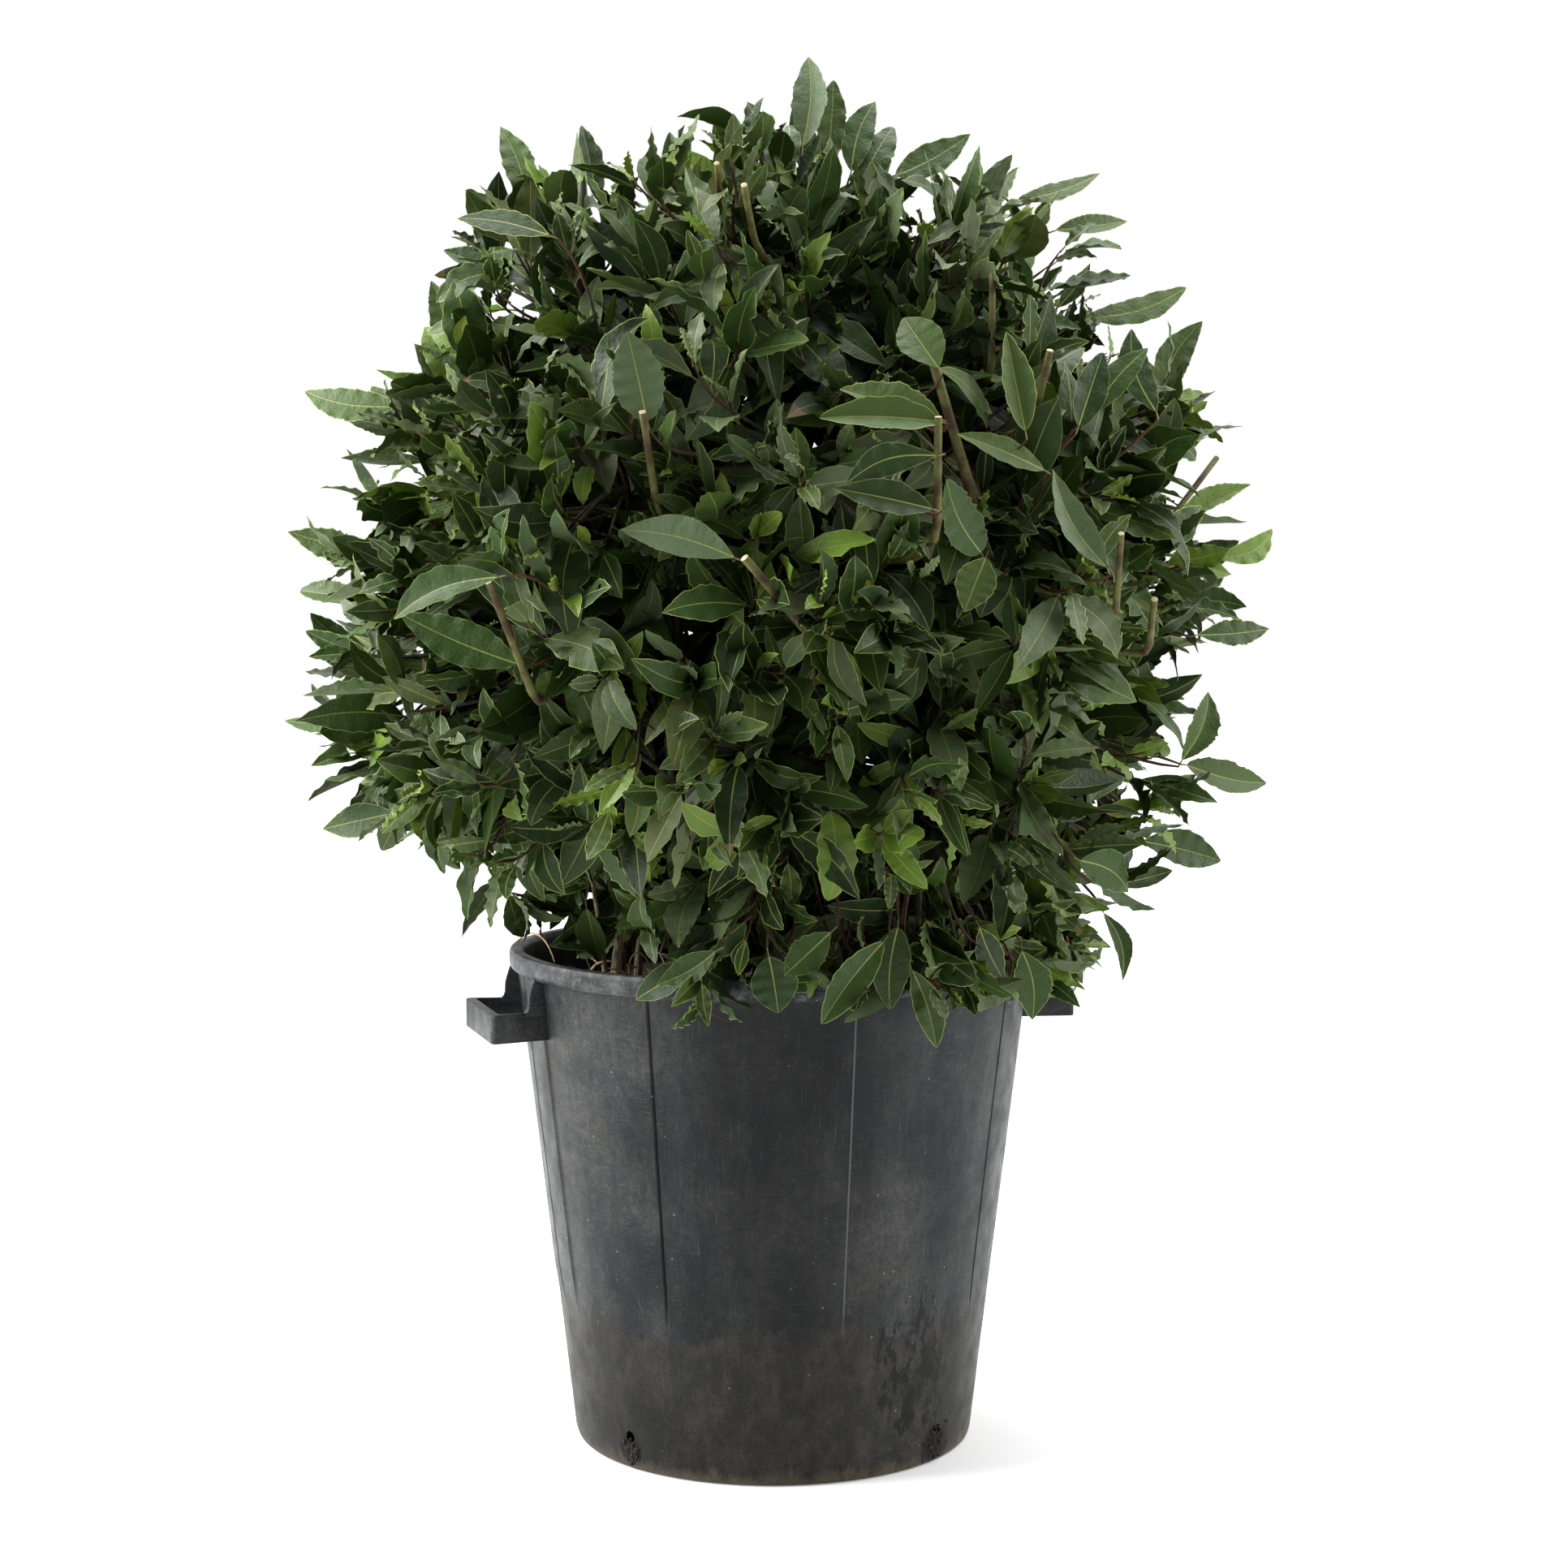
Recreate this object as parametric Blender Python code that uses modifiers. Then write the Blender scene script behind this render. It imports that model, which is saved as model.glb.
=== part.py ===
"""A bay laurel bush in a round plastic tub with two moulded loop handles.

Metres, +Z up. The origin is the middle of the tub's flat underside, the handles lie along X,
and the side that is looked at lies towards -Y.
"""

import math
import random
from collections import namedtuple

import bmesh
import bpy
import numpy as np
from mathutils import Matrix, Vector
from mathutils.bvhtree import BVHTree

NAME = "potted_bay_laurel"
SEED = 27
GAP = 0.0003  # clearance between neighbouring pieces
WELD = 1e-6
UP = Vector((0.0, 0.0, 1.0))

# Tub
POT_HEIGHT = 0.513
POT_FOOT_RADIUS = 0.2066
POT_WALL_RADIUS = 0.2650  # outside, just under the rim
POT_WALL = 0.0030
POT_FLOOR = 0.0040
POT_STEPS = 48  # sides of everything that is turned about the tub's axis
RIM_RADIUS = 0.2750
RIM_HEIGHT = 0.0205
RIM_ROUND = 0.0035
RIM_INNER_RADIUS = 0.2605
FOOT_CHAMFER = 0.0060
DRAIN_RADIUS = 0.0060
DRAIN_HEIGHT = 0.0350
DRAIN_TURNS = (29.5, 123.5, 209.5, 303.5)  # degrees from +X
DRAIN_SIDES = 12

# Soil
SOIL_HEIGHT = 0.4720
SOIL_EDGE_DROP = 0.0090
SOIL_FLAT_RADIUS = 0.1700

# Handles
HANDLE_RADIUS = 0.3100  # outside of the grip bar
HANDLE_BAR = 0.0100
HANDLE_BOTTOM = 0.4215
HANDLE_TOP = 0.4505
HANDLE_HALF_TURN = math.radians(12.0)
HANDLE_ARC_STEPS = 6
GUSSET_THICKNESS = 0.0070
GUSSET_TOP_RADIUS = 0.2735
GUSSET_WAIST = (0.2800, 0.4620)  # radius and height of the bend in its edge
GUSSET_SUNK = 0.0025  # how far it is let into the grip bar
WALL_CUT_BOTTOM = 0.3000  # the wall's cutter starts well under the handles
WALL_CUT_DEEP = 0.0060  # a gusset is drawn this far into the wall, then cut back

# Crown outline: height, reach to the left and reach to the right, as seen from the front
VIEW_TURN = math.radians(-17.5)  # where the right of that view lies, from +X
CROWN_LEVELS = (
    (0.500, 0.290, 0.335),
    (0.560, 0.300, 0.375),
    (0.620, 0.435, 0.440),
    (0.700, 0.485, 0.470),
    (0.850, 0.478, 0.480),
    (1.000, 0.445, 0.465),
    (1.100, 0.415, 0.430),
    (1.200, 0.335, 0.375),
    (1.300, 0.280, 0.300),
    (1.350, 0.215, 0.200),
    (1.382, 0.000, 0.000),
)
CROWN_MIDDLE = Vector((0.0, 0.0, 0.880))
CROWN_SPAN = 0.80  # more than the outline's furthest point from there
HALVINGS = 24

# Single leaf tips that stand out of that outline: across, towards the viewer, height
STRAY_TIPS = (
    (0.035, 0.00, 1.430),
    (-0.225, 0.02, 1.362),
    (-0.505, 0.06, 0.738),
    (0.527, 0.02, 0.935),
    (-0.455, 0.12, 0.606),
    (0.152, 0.31, 0.462),
    (0.010, 0.32, 0.484),
    (0.260, 0.24, 0.486),
)
STRAY_OUTWARD = 0.42  # how far a leaf that hangs over the rim leans out, to 0.9 down
STRAY_DOWN = 0.90

# Shoots and leaves
SHOOTS = 96
LOWEST_SHOOT = math.radians(-54.0)  # elevation seen from the crown's middle
GOLDEN_TURN = math.pi * (3.0 - math.sqrt(5.0))
LEAF_LENGTH = 0.136
LEAF_WIDTH = 0.054
LEAF_THICKNESS = 0.0034
LEAF_FOLD = 0.0045  # how far the edges stand above the midrib
LEAF_DROOP = 0.006
LEAF_WIDEST = 0.43  # share of its length
LEAF_THICKEST = 0.39
LEAF_SIZES = (0.88, 1.08)
LEAF_SPREADS = (12.0, 50.0, 58.0, 66.0, 74.0)  # degrees from the shoot's line, from the tip down
LEAF_STEP = 0.010  # between one leaf's foot and the next, down the shoot
LEAF_SUNK = 0.006
LEAF_UPTURN = 0.35
LEAF_UNEVEN = 0.35
LEAF_EDGE_ON = 0.96
SHORT_LEAF = 0.7
LEAF_SWINGS = (0.0, 0.5, -0.5, 1.0, -1.0, 1.7, -1.7, 2.6)  # turns tried about the shoot
OVERREACH = 0.010  # how far a side leaf may pass the outline
SHOOT_ROOM = 0.012  # a shoot's end keeps this far inside its mass's space
SHOOT_PULL = 0.08
FREE_BLADE = 0.35  # the share of a blade by its foot that others may cross
TWIG_RADIUS = 0.0036
TWIG_TIP_RADIUS = 0.0031
TWIG_STEPS = 2
TWIG_ROOTS = (0.7, 1.1)  # where twigs leave a mass's stem, from its foot to the hub
HUB_SHARE = 0.75  # how far a mass's stem runs towards its middle
CELL_MARGIN = 0.0008
POT_CLEARANCE = 0.006  # of leaves from the rim
HANDLE_CLEARANCE = 0.004
LIMB_CLEARANCE = 0.004
CORE_DEPTH = 0.155  # how far the dense inside lies under the outline
CORE_MARGIN = 0.009  # and from the flat sides of its space
CORE_ABOVE_POT = 0.032
CORE_WELD = 0.004
FLAT = math.radians(0.02)  # faces that meet at less are one face

# Limbs
TRUNK_FOOT = (0.020, math.radians(200.0))  # radius and turn
TRUNK_TOP = (0.007, math.radians(304.0), 0.985)
TRUNK_RADIUS = 0.0175
TRUNK_TOP_RADIUS = 0.0095
STEM_RADIUS = 0.0135
STEM_TOP_RADIUS = 0.0095
STEM_FOOT_RADII = (0.085, 0.125)  # where they stand round the axis
STEM_FOOT_SWING = 0.12
STEM_TOP = 0.092
STEM_TOP_HEIGHTS = (0.625, 0.655)
STEM_TURN = math.radians(18.0)  # between a low mass and the stem that carries it
FLARE = 1.45  # swelling of the foot
LOW_BOUGH_AT = 3  # the point of its stem that a low bough leaves
LOW_BOUGH_RISE = 0.9
TOP_BOUGH_AT = 0.45  # steps down the trunk from its tip, for each side bough
TOP_BOUGH_RISE = 1.2
BOUGH_TIP_RADIUS = 0.0055
STALK_RADII = (BOUGH_TIP_RADIUS, 0.0040)  # of the stem that a mass grows from
STALK_SIDES = 6
SIDE_BOUGH_RADIUS = 0.0072
LIMB_STEPS = 5
LIMB_LEAD = 0.012  # straight length at each end of a limb
BEND_PULL = 0.38
BALL_STEPS = 12
STEM_SIDES = 2  # bevel resolution: 8 sides
BOUGH_SIDES = 1  # 6 sides

Tier = namedtuple("Tier", "name count radius height inner entry turn")
# number of masses, radius and height of their middles, inner face, entry height, first turn
TIERS = (
    Tier("low", 5, 0.305, 0.715, 0.152, 0.655, 16.0),
    Tier("middle", 5, 0.285, 1.000, 0.136, 0.905, 52.0),
    Tier("top", 3, 0.165, 1.235, 0.072, 1.090, 30.0),
)

COLOURS = {
    "pot": ((0.031, 0.032, 0.033), 0.55),
    "handle": ((0.060, 0.062, 0.062), 0.55),
    "soil": ((0.030, 0.021, 0.014), 0.95),
    "stem": ((0.120, 0.100, 0.062), 0.80),
    "bough": ((0.085, 0.080, 0.045), 0.75),
    "foliage": ((0.052, 0.088, 0.030), 0.45),
}

Mass = namedtuple("Mass", "name tier turn middle entry way hub normals offsets")
Limb = namedtuple("Limb", "name points radii")


def clear_scene():
    for thing in list(bpy.data.objects):
        bpy.data.objects.remove(thing, do_unlink=True)


def new_collection(name):
    group = bpy.data.collections.new(name)
    bpy.context.scene.collection.children.link(group)
    return group


def material(name, kind):
    colour, roughness = COLOURS[kind]
    made = bpy.data.materials.new(name)
    made.use_nodes = True
    shader = made.node_tree.nodes["Principled BSDF"]
    shader.inputs["Base Color"].default_value = (*colour, 1.0)
    shader.inputs["Roughness"].default_value = roughness
    shader.inputs["Metallic"].default_value = 0.0
    return made


def new_object(name, mesh, group):
    made = bpy.data.objects.new(name, mesh)
    group.objects.link(made)
    return made


def finish(thing, kind, smooth=True):
    """Give a piece its own material and its shading."""
    thing.data.materials.clear()
    thing.data.materials.append(material(thing.name, kind))
    if smooth:
        thing.data.shade_smooth()
        thing.data.set_sharp_from_angle(angle=math.radians(40.0))


def evaluated_mesh(thing):
    """The mesh of an object with its modifiers applied, or of a curve."""
    bpy.context.view_layer.update()
    depsgraph = bpy.context.evaluated_depsgraph_get()
    return bpy.data.meshes.new_from_object(thing.evaluated_get(depsgraph))


def weld(mesh):
    """Join a mesh's caps to its sides, with every face pointing out."""
    bm = bmesh.new()
    bm.from_mesh(mesh)
    bmesh.ops.remove_doubles(bm, verts=bm.verts, dist=WELD)
    bmesh.ops.recalc_face_normals(bm, faces=bm.faces)
    bm.to_mesh(mesh)
    bm.free()


def make_cutter(thing, cutters):
    thing.users_collection[0].objects.unlink(thing)
    cutters.objects.link(thing)
    thing.hide_render = True
    thing.display_type = "WIRE"


def boolean(thing, operation, cutter=None, group=None):
    modifier = thing.modifiers.new(operation.lower(), "BOOLEAN")
    modifier.operation = operation
    if group is None:
        modifier.object = cutter
    else:
        modifier.operand_type = "COLLECTION"
        modifier.collection = group


def apply_all(thing):
    mesh = evaluated_mesh(thing)
    thing.modifiers.clear()
    thing.data = mesh


def polar(radius, turn, height):
    return Vector((radius * math.cos(turn), radius * math.sin(turn), height))


# Tub, soil and handles


def wall_radius(height):
    """Outside radius of the tapering wall."""
    share = height / (POT_HEIGHT - RIM_HEIGHT)
    return POT_FOOT_RADIUS + (POT_WALL_RADIUS - POT_FOOT_RADIUS) * share


def turned(name, profile, group):
    """Turn a profile of (radius, height) points round Z; it runs down the outer side."""
    mesh = bpy.data.meshes.new(name)
    edges = [(i, i + 1) for i in range(len(profile) - 1)]
    mesh.from_pydata([(radius, 0.0, height) for radius, height in profile], edges, [])
    made = new_object(name, mesh, group)
    screw = made.modifiers.new("turn", "SCREW")
    screw.steps = POT_STEPS
    screw.render_steps = POT_STEPS
    screw.use_merge_vertices = True
    screw.merge_threshold = 0.0001
    return made


def make_pot(parts, cutters):
    lip_foot = POT_HEIGHT - RIM_HEIGHT
    profile = [
        (0.0, POT_FLOOR),
        (wall_radius(POT_FLOOR) - POT_WALL - FOOT_CHAMFER, POT_FLOOR),
        (wall_radius(FOOT_CHAMFER) - POT_WALL, POT_FLOOR + FOOT_CHAMFER),
        (wall_radius(lip_foot) - POT_WALL, lip_foot),
        (RIM_INNER_RADIUS, POT_HEIGHT - RIM_ROUND),
        (RIM_INNER_RADIUS + RIM_ROUND, POT_HEIGHT),
        (RIM_RADIUS - RIM_ROUND, POT_HEIGHT),
        (RIM_RADIUS, POT_HEIGHT - RIM_ROUND),
        (RIM_RADIUS, lip_foot + RIM_ROUND),
        (RIM_RADIUS - RIM_ROUND / 2, lip_foot),
        (wall_radius(lip_foot), lip_foot),
        (wall_radius(FOOT_CHAMFER), FOOT_CHAMFER),
        (wall_radius(0.0) - FOOT_CHAMFER, 0.0),
        (0.0, 0.0),
    ]
    pot = turned("pot", profile, parts)
    middle = wall_radius(DRAIN_HEIGHT) - POT_WALL / 2
    for number, turn in enumerate(DRAIN_TURNS, 1):
        bpy.ops.mesh.primitive_cylinder_add(
            vertices=DRAIN_SIDES,
            radius=DRAIN_RADIUS,
            depth=6 * POT_WALL,
            location=polar(middle, math.radians(turn), DRAIN_HEIGHT),
            rotation=(0.0, math.pi / 2, math.radians(turn)),
        )
        hole = bpy.context.object
        hole.name = f"drain_hole_{number}"
        make_cutter(hole, cutters)
        boolean(pot, "DIFFERENCE", hole)
    finish(pot, "pot")


def make_soil(parts):
    inner = POT_WALL + GAP
    rim_side = SOIL_HEIGHT - SOIL_EDGE_DROP
    foot = POT_FLOOR + GAP
    profile = [
        (0.0, SOIL_HEIGHT),
        (SOIL_FLAT_RADIUS, SOIL_HEIGHT),
        (wall_radius(rim_side) - inner, rim_side),
        (wall_radius(POT_FLOOR + FOOT_CHAMFER) - inner - GAP, POT_FLOOR + FOOT_CHAMFER),
        (wall_radius(POT_FLOOR) - inner - FOOT_CHAMFER - GAP, foot),
        (0.0, foot),
    ]
    finish(turned("soil", profile, parts), "soil")


def flat_outline(name, points, thickness, group):
    """A flat outline in XY, thickened evenly to both sides, as a mesh."""
    curve = bpy.data.curves.new(name, "CURVE")
    curve.dimensions = "2D"
    curve.fill_mode = "BOTH"
    curve.extrude = thickness / 2
    spline = curve.splines.new("POLY")
    spline.points.add(len(points) - 1)
    for point, (x, y) in zip(spline.points, points):
        point.co = (x, y, 0.0, 1.0)
    spline.use_cyclic_u = True
    drawn = new_object(name, curve, group)
    mesh = evaluated_mesh(drawn)
    bpy.data.objects.remove(drawn, do_unlink=True)
    weld(mesh)
    return new_object(name, mesh, group)


def grip_outline():
    """The grip bar from above: a piece of a ring that bulges away from the tub."""
    turns = [
        HANDLE_HALF_TURN * (2 * i / HANDLE_ARC_STEPS - 1) for i in range(HANDLE_ARC_STEPS + 1)
    ]
    outer = [(HANDLE_RADIUS * math.cos(a), HANDLE_RADIUS * math.sin(a)) for a in turns]
    radius = HANDLE_RADIUS - HANDLE_BAR
    inner = [(radius * math.cos(a), radius * math.sin(a)) for a in reversed(turns)]
    return outer + inner


def gusset_outline():
    """A gusset from the side: radius and height, from the rim's underside to the bar."""
    lip_foot = POT_HEIGHT - RIM_HEIGHT - GAP
    root = wall_radius(HANDLE_BOTTOM) - WALL_CUT_DEEP
    end = HANDLE_RADIUS - HANDLE_BAR + GUSSET_SUNK
    return [
        (root, lip_foot),
        (root, HANDLE_BOTTOM),
        (end, HANDLE_BOTTOM),
        (end, HANDLE_TOP),
        GUSSET_WAIST,
        (GUSSET_TOP_RADIUS, lip_foot),
    ]


def make_handles(parts, cutters):
    """Two loops: a grip bar on two gussets, cut to lie against the tapering wall."""
    bpy.ops.mesh.primitive_cone_add(
        vertices=POT_STEPS,
        radius1=wall_radius(WALL_CUT_BOTTOM) + GAP,
        radius2=wall_radius(POT_HEIGHT) + GAP,
        depth=POT_HEIGHT - WALL_CUT_BOTTOM,
        location=(0.0, 0.0, (POT_HEIGHT + WALL_CUT_BOTTOM) / 2),
        rotation=(0.0, 0.0, math.pi / 2),
    )
    wall = bpy.context.object
    wall.name = "wall_for_handles"
    make_cutter(wall, cutters)
    for side, turn in (("right", 0.0), ("left", math.pi)):
        about = Matrix.Rotation(turn, 4, "Z")
        height = (HANDLE_TOP + HANDLE_BOTTOM) / 2
        bar = flat_outline(
            f"pot_handle_{side}", grip_outline(), HANDLE_TOP - HANDLE_BOTTOM, parts
        )
        bar.data.transform(about @ Matrix.Translation((0.0, 0.0, height)))
        inset = GUSSET_THICKNESS / 2 / (HANDLE_RADIUS - HANDLE_BAR * 2)
        for end in (-1, 1):
            gusset = flat_outline("gusset", gusset_outline(), GUSSET_THICKNESS, cutters)
            upright = Matrix.Rotation(math.pi / 2, 4, "X")
            swing = Matrix.Rotation(turn + end * (HANDLE_HALF_TURN - inset), 4, "Z")
            gusset.data.transform(swing @ upright)
            boolean(bar, "UNION", gusset)
            apply_all(bar)
            bpy.data.objects.remove(gusset, do_unlink=True)
        boolean(bar, "DIFFERENCE", wall)
        apply_all(bar)
        finish(bar, "handle", smooth=False)


# Crown: its outline and the masses that share it


def reach(turn, height):
    """How far the crown reaches from the axis at one turn and height."""
    heights, lefts, rights = zip(*CROWN_LEVELS)
    share = 0.5 + 0.5 * math.cos(turn - VIEW_TURN)
    right = np.interp(height, heights, rights)
    left = np.interp(height, heights, lefts)
    return share * right + (1.0 - share) * left


def within_outline(point, slack=0.0):
    turn = math.atan2(point.y, point.x)
    return math.hypot(point.x, point.y) < reach(turn, point.z) + slack


def on_outline(start, way):
    """Where a ray from a point inside the crown leaves its outline."""
    near = 0.0
    far = CROWN_SPAN
    for _ in range(HALVINGS):
        middle = (near + far) / 2
        if within_outline(start + way * middle):
            near = middle
        else:
            far = middle
    return start + way * near


def make_masses():
    """The masses of foliage, each with the flat-sided space that it keeps to."""
    middles = []
    for tier in TIERS:
        for number in range(tier.count):
            turn = math.radians(tier.turn) + 2 * math.pi * number / tier.count
            middles.append((tier, number, turn, polar(tier.radius, turn, tier.height)))
    masses = []
    for tier, number, turn, middle in middles:
        normals = []
        offsets = []
        for *_, other in middles:
            if other != middle:
                normal = (other - middle).normalized()
                normals.append(normal)
                offsets.append(normal.dot((other + middle) / 2) - CELL_MARGIN)
        radial = polar(1.0, turn, 0.0)
        entry = polar(tier.inner, turn, tier.entry)
        inward = -UP if tier.name == "top" else -radial
        normals.append(inward)
        offsets.append(inward.dot(entry))
        hub = entry.lerp(middle, HUB_SHARE)
        way = (hub - entry).normalized()
        masses.append(Mass(
            f"foliage_{tier.name}_{number + 1}", tier, turn, middle,
            entry, way, hub, np.array(normals), np.array(offsets),
        ))
    return masses


def inside(mass, points, margin=0.0):
    """Whether all the points lie in a mass's own space."""
    rows = np.array(points) @ mass.normals.T
    return bool((rows < mass.offsets - margin).all())


def clear_of_pot(points):
    """Whether all the points keep clear of the rim, the handles and the space in the tub."""
    for x, y, z in points:
        radius = math.hypot(x, y)
        if z < POT_HEIGHT + POT_CLEARANCE and radius < RIM_RADIUS + POT_CLEARANCE:
            return False
        if z < HANDLE_TOP + HANDLE_CLEARANCE:
            return False
    return True


def shoot_ends(masses):
    """Where each mass's shoots end, the strays first: mass index, tip and outward way."""
    ends = []
    for across, forward, height in STRAY_TIPS:
        tip = Vector((across, -forward, height))
        tip.rotate(Matrix.Rotation(VIEW_TURN, 3, "Z"))
        owner = nearest(masses, tip)
        way = tip - CROWN_MIDDLE.lerp(masses[owner].hub, 0.5)
        if height < POT_HEIGHT:
            outward = Vector((tip.x, tip.y, 0.0)).normalized()
            way = outward * STRAY_OUTWARD - UP * STRAY_DOWN
        ends.append((owner, tip, way.normalized()))
    lowest = math.sin(LOWEST_SHOOT)
    for number in range(SHOOTS):
        rise = 1.0 - (number + 0.5) / SHOOTS * (1.0 - lowest)
        level = math.sqrt(1.0 - rise * rise)
        way = polar(level, number * GOLDEN_TURN, rise)
        tip = on_outline(CROWN_MIDDLE, way)
        ends.append((nearest(masses, tip), tip, way))
    return ends


def nearest(masses, point):
    return min(range(len(masses)), key=lambda i: (masses[i].middle - point).length)


# Limbs


def bend(start, start_way, end, end_way, steps):
    """Points along a smooth bend between two places and directions."""
    pull = (end - start).length * BEND_PULL
    near = start + start_way * pull
    far = end - end_way * pull
    points = []
    for i in range(steps + 1):
        t = i / steps
        s = 1.0 - t
        points.append(
            start * s**3 + near * (3 * s * s * t) + far * (3 * s * t * t) + end * t**3
        )
    return points


def limb_points(start, start_way, end, end_way):
    """A bend between two short straight ends, so that both end faces are square to it."""
    first = start + start_way * LIMB_LEAD
    last = end - end_way * LIMB_LEAD
    return [start, *bend(first, start_way, last, end_way, LIMB_STEPS), end]


def taper(first, last, count):
    return [first + (last - first) * i / (count - 1) for i in range(count)]


def limb_mesh(limb, sides, group, swell=0.0):
    """A tapering limb with flat ends, as a mesh made from a curve."""
    curve = bpy.data.curves.new(limb.name, "CURVE")
    curve.dimensions = "3D"
    curve.bevel_depth = 1.0
    curve.bevel_resolution = sides
    curve.use_fill_caps = True
    curve.twist_mode = "MINIMUM"
    spline = curve.splines.new("POLY")
    spline.points.add(len(limb.points) - 1)
    for point, place, radius in zip(spline.points, limb.points, limb.radii):
        point.co = (*place, 1.0)
        point.radius = radius + swell
    drawn = new_object(limb.name, curve, group)
    mesh = evaluated_mesh(drawn)
    bpy.data.objects.remove(drawn, do_unlink=True)
    weld(mesh)
    return new_object(limb.name, mesh, group)


def make_stems():
    """A middle trunk and one stem for each low mass, all rising from the soil's surface."""
    foot = SOIL_HEIGHT + GAP
    stems = [stem("trunk", polar(*TRUNK_FOOT, foot), polar(*TRUNK_TOP),
                  TRUNK_RADIUS, TRUNK_TOP_RADIUS)]
    low = TIERS[0]
    rng = random.Random(SEED)
    for number in range(low.count):
        turn = math.radians(low.turn) + STEM_TURN + 2 * math.pi * number / low.count
        swing = rng.uniform(-STEM_FOOT_SWING, STEM_FOOT_SWING)
        start = polar(rng.uniform(*STEM_FOOT_RADII), turn + swing, foot)
        end = polar(STEM_TOP, turn, rng.uniform(*STEM_TOP_HEIGHTS))
        stems.append(stem(f"stem_{number + 1}", start, end, STEM_RADIUS, STEM_TOP_RADIUS))
    return stems


def stem(name, start, end, radius, top_radius):
    """An upright limb with a swollen foot."""
    points = limb_points(start, UP, end, UP)
    radii = taper(radius, top_radius, len(points))
    radii[0] *= FLARE
    return Limb(name, points, radii)


def make_boughs(stems, masses):
    """A bough to every mass: it goes on from a stem's tip, or leaves its side."""
    boughs = []
    carriers = {}
    for mass in masses:
        tier = mass.tier.name
        name = mass.name.replace("foliage", "bough")
        number = int(mass.name[-1]) - 1
        outward = polar(1.0, mass.turn, 0.0)
        carrier = stems[0] if tier == "top" else stems[number + 1]
        if tier == "low":
            start = carrier.points[LOW_BOUGH_AT]
            way = outward + UP * LOW_BOUGH_RISE
        elif tier == "top" and number:
            start = carrier.points[-2].lerp(carrier.points[-3], TOP_BOUGH_AT * number)
            way = outward + UP * TOP_BOUGH_RISE
        else:
            start = carrier.points[-1] + UP * GAP
            way = UP
        leads_on = way == UP
        if not leads_on:
            carriers[name] = carrier
        first = carrier.radii[-1] if leads_on else SIDE_BOUGH_RADIUS
        points = limb_points(start, way.normalized(), mass.entry - mass.way * GAP, mass.way)
        boughs.append(Limb(name, points, taper(first, BOUGH_TIP_RADIUS, len(points))))
    return boughs, carriers


def build_limbs(stems, boughs, carriers, parts, cutters):
    """The limbs; a bough that leaves a limb's side is cut to lie against it."""
    for limb in stems:
        finish(limb_mesh(limb, STEM_SIDES, parts), "stem")
    for bough in boughs:
        made = limb_mesh(bough, BOUGH_SIDES, parts)
        if bough.name in carriers:
            cutter = limb_mesh(carriers[bough.name], STEM_SIDES, cutters, swell=GAP * 1.1)
            boolean(made, "DIFFERENCE", cutter)
            apply_all(made)
            bpy.data.objects.remove(cutter, do_unlink=True)
        finish(made, "bough")


# Foliage


def twig_mesh(points, radii, sides):
    """A thin tapering twig of a few sides, swept along its points and closed at both ends."""
    bm = bmesh.new()
    rings = []
    across = UP
    for i, (point, radius) in enumerate(zip(points, radii)):
        ahead = points[min(i + 1, len(points) - 1)] - points[max(i - 1, 0)]
        ahead.normalize()
        side = ahead.cross(across)
        if side.length < 0.2:
            side = ahead.cross(Vector((1.0, 0.0, 0.0)))
        side.normalize()
        across = side.cross(ahead)
        ring = []
        for k in range(sides):
            a = 2 * math.pi * k / sides
            ring.append(bm.verts.new(point + (side * math.cos(a) + across * math.sin(a)) * radius))
        rings.append(ring)
    for one, two in zip(rings, rings[1:]):
        for k in range(sides):
            bm.faces.new((one[k], one[(k + 1) % sides], two[(k + 1) % sides], two[k]))
    bm.faces.new(rings[0])
    bm.faces.new(rings[-1])
    bmesh.ops.recalc_face_normals(bm, faces=bm.faces)
    mesh = bpy.data.meshes.new("twig")
    bm.to_mesh(mesh)
    bm.free()
    return mesh


def leaf_frame(foot, way, face):
    """A leaf's place: X along the blade, Z out of its upper face."""
    side = face.cross(way).normalized()
    upper = way.cross(side).normalized()
    return Matrix.Translation(foot) @ Matrix((way, side, upper)).transposed().to_4x4()


def leaf_points(length):
    """Foot, tip, both edges, and the midrib's upper and lower side, in the leaf's own frame."""
    scale = length / LEAF_LENGTH
    widest = LEAF_WIDEST * length
    thickest = LEAF_THICKEST * length
    half = LEAF_WIDTH / 2 * scale
    return [
        Vector((0.0, 0.0, 0.0)),
        Vector((length, 0.0, -LEAF_DROOP * scale)),
        Vector((widest, half, LEAF_FOLD)),
        Vector((widest, -half, LEAF_FOLD)),
        Vector((thickest, 0.0, LEAF_THICKNESS / 2)),
        Vector((thickest, 0.0, -LEAF_THICKNESS / 2)),
    ]


def leaf_mesh(points):
    foot, tip, left, right, upper, lower = range(6)
    faces = [
        (foot, upper, left), (foot, right, upper), (tip, left, upper), (tip, upper, right),
        (foot, left, lower), (foot, lower, right), (tip, lower, left), (tip, right, lower),
    ]
    mesh = bpy.data.meshes.new("leaf")
    mesh.from_pydata(points, [], faces)
    return mesh


def sampled(points):
    """Points spread over a leaf, for testing what it keeps clear of."""
    foot, tip, left, right = points[:4]
    rows = list(points)
    for edge in (left, right):
        for t in (1 / 3, 2 / 3):
            rows.append(foot.lerp(edge, t))
            rows.append(edge.lerp(tip, t))
    return rows


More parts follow.
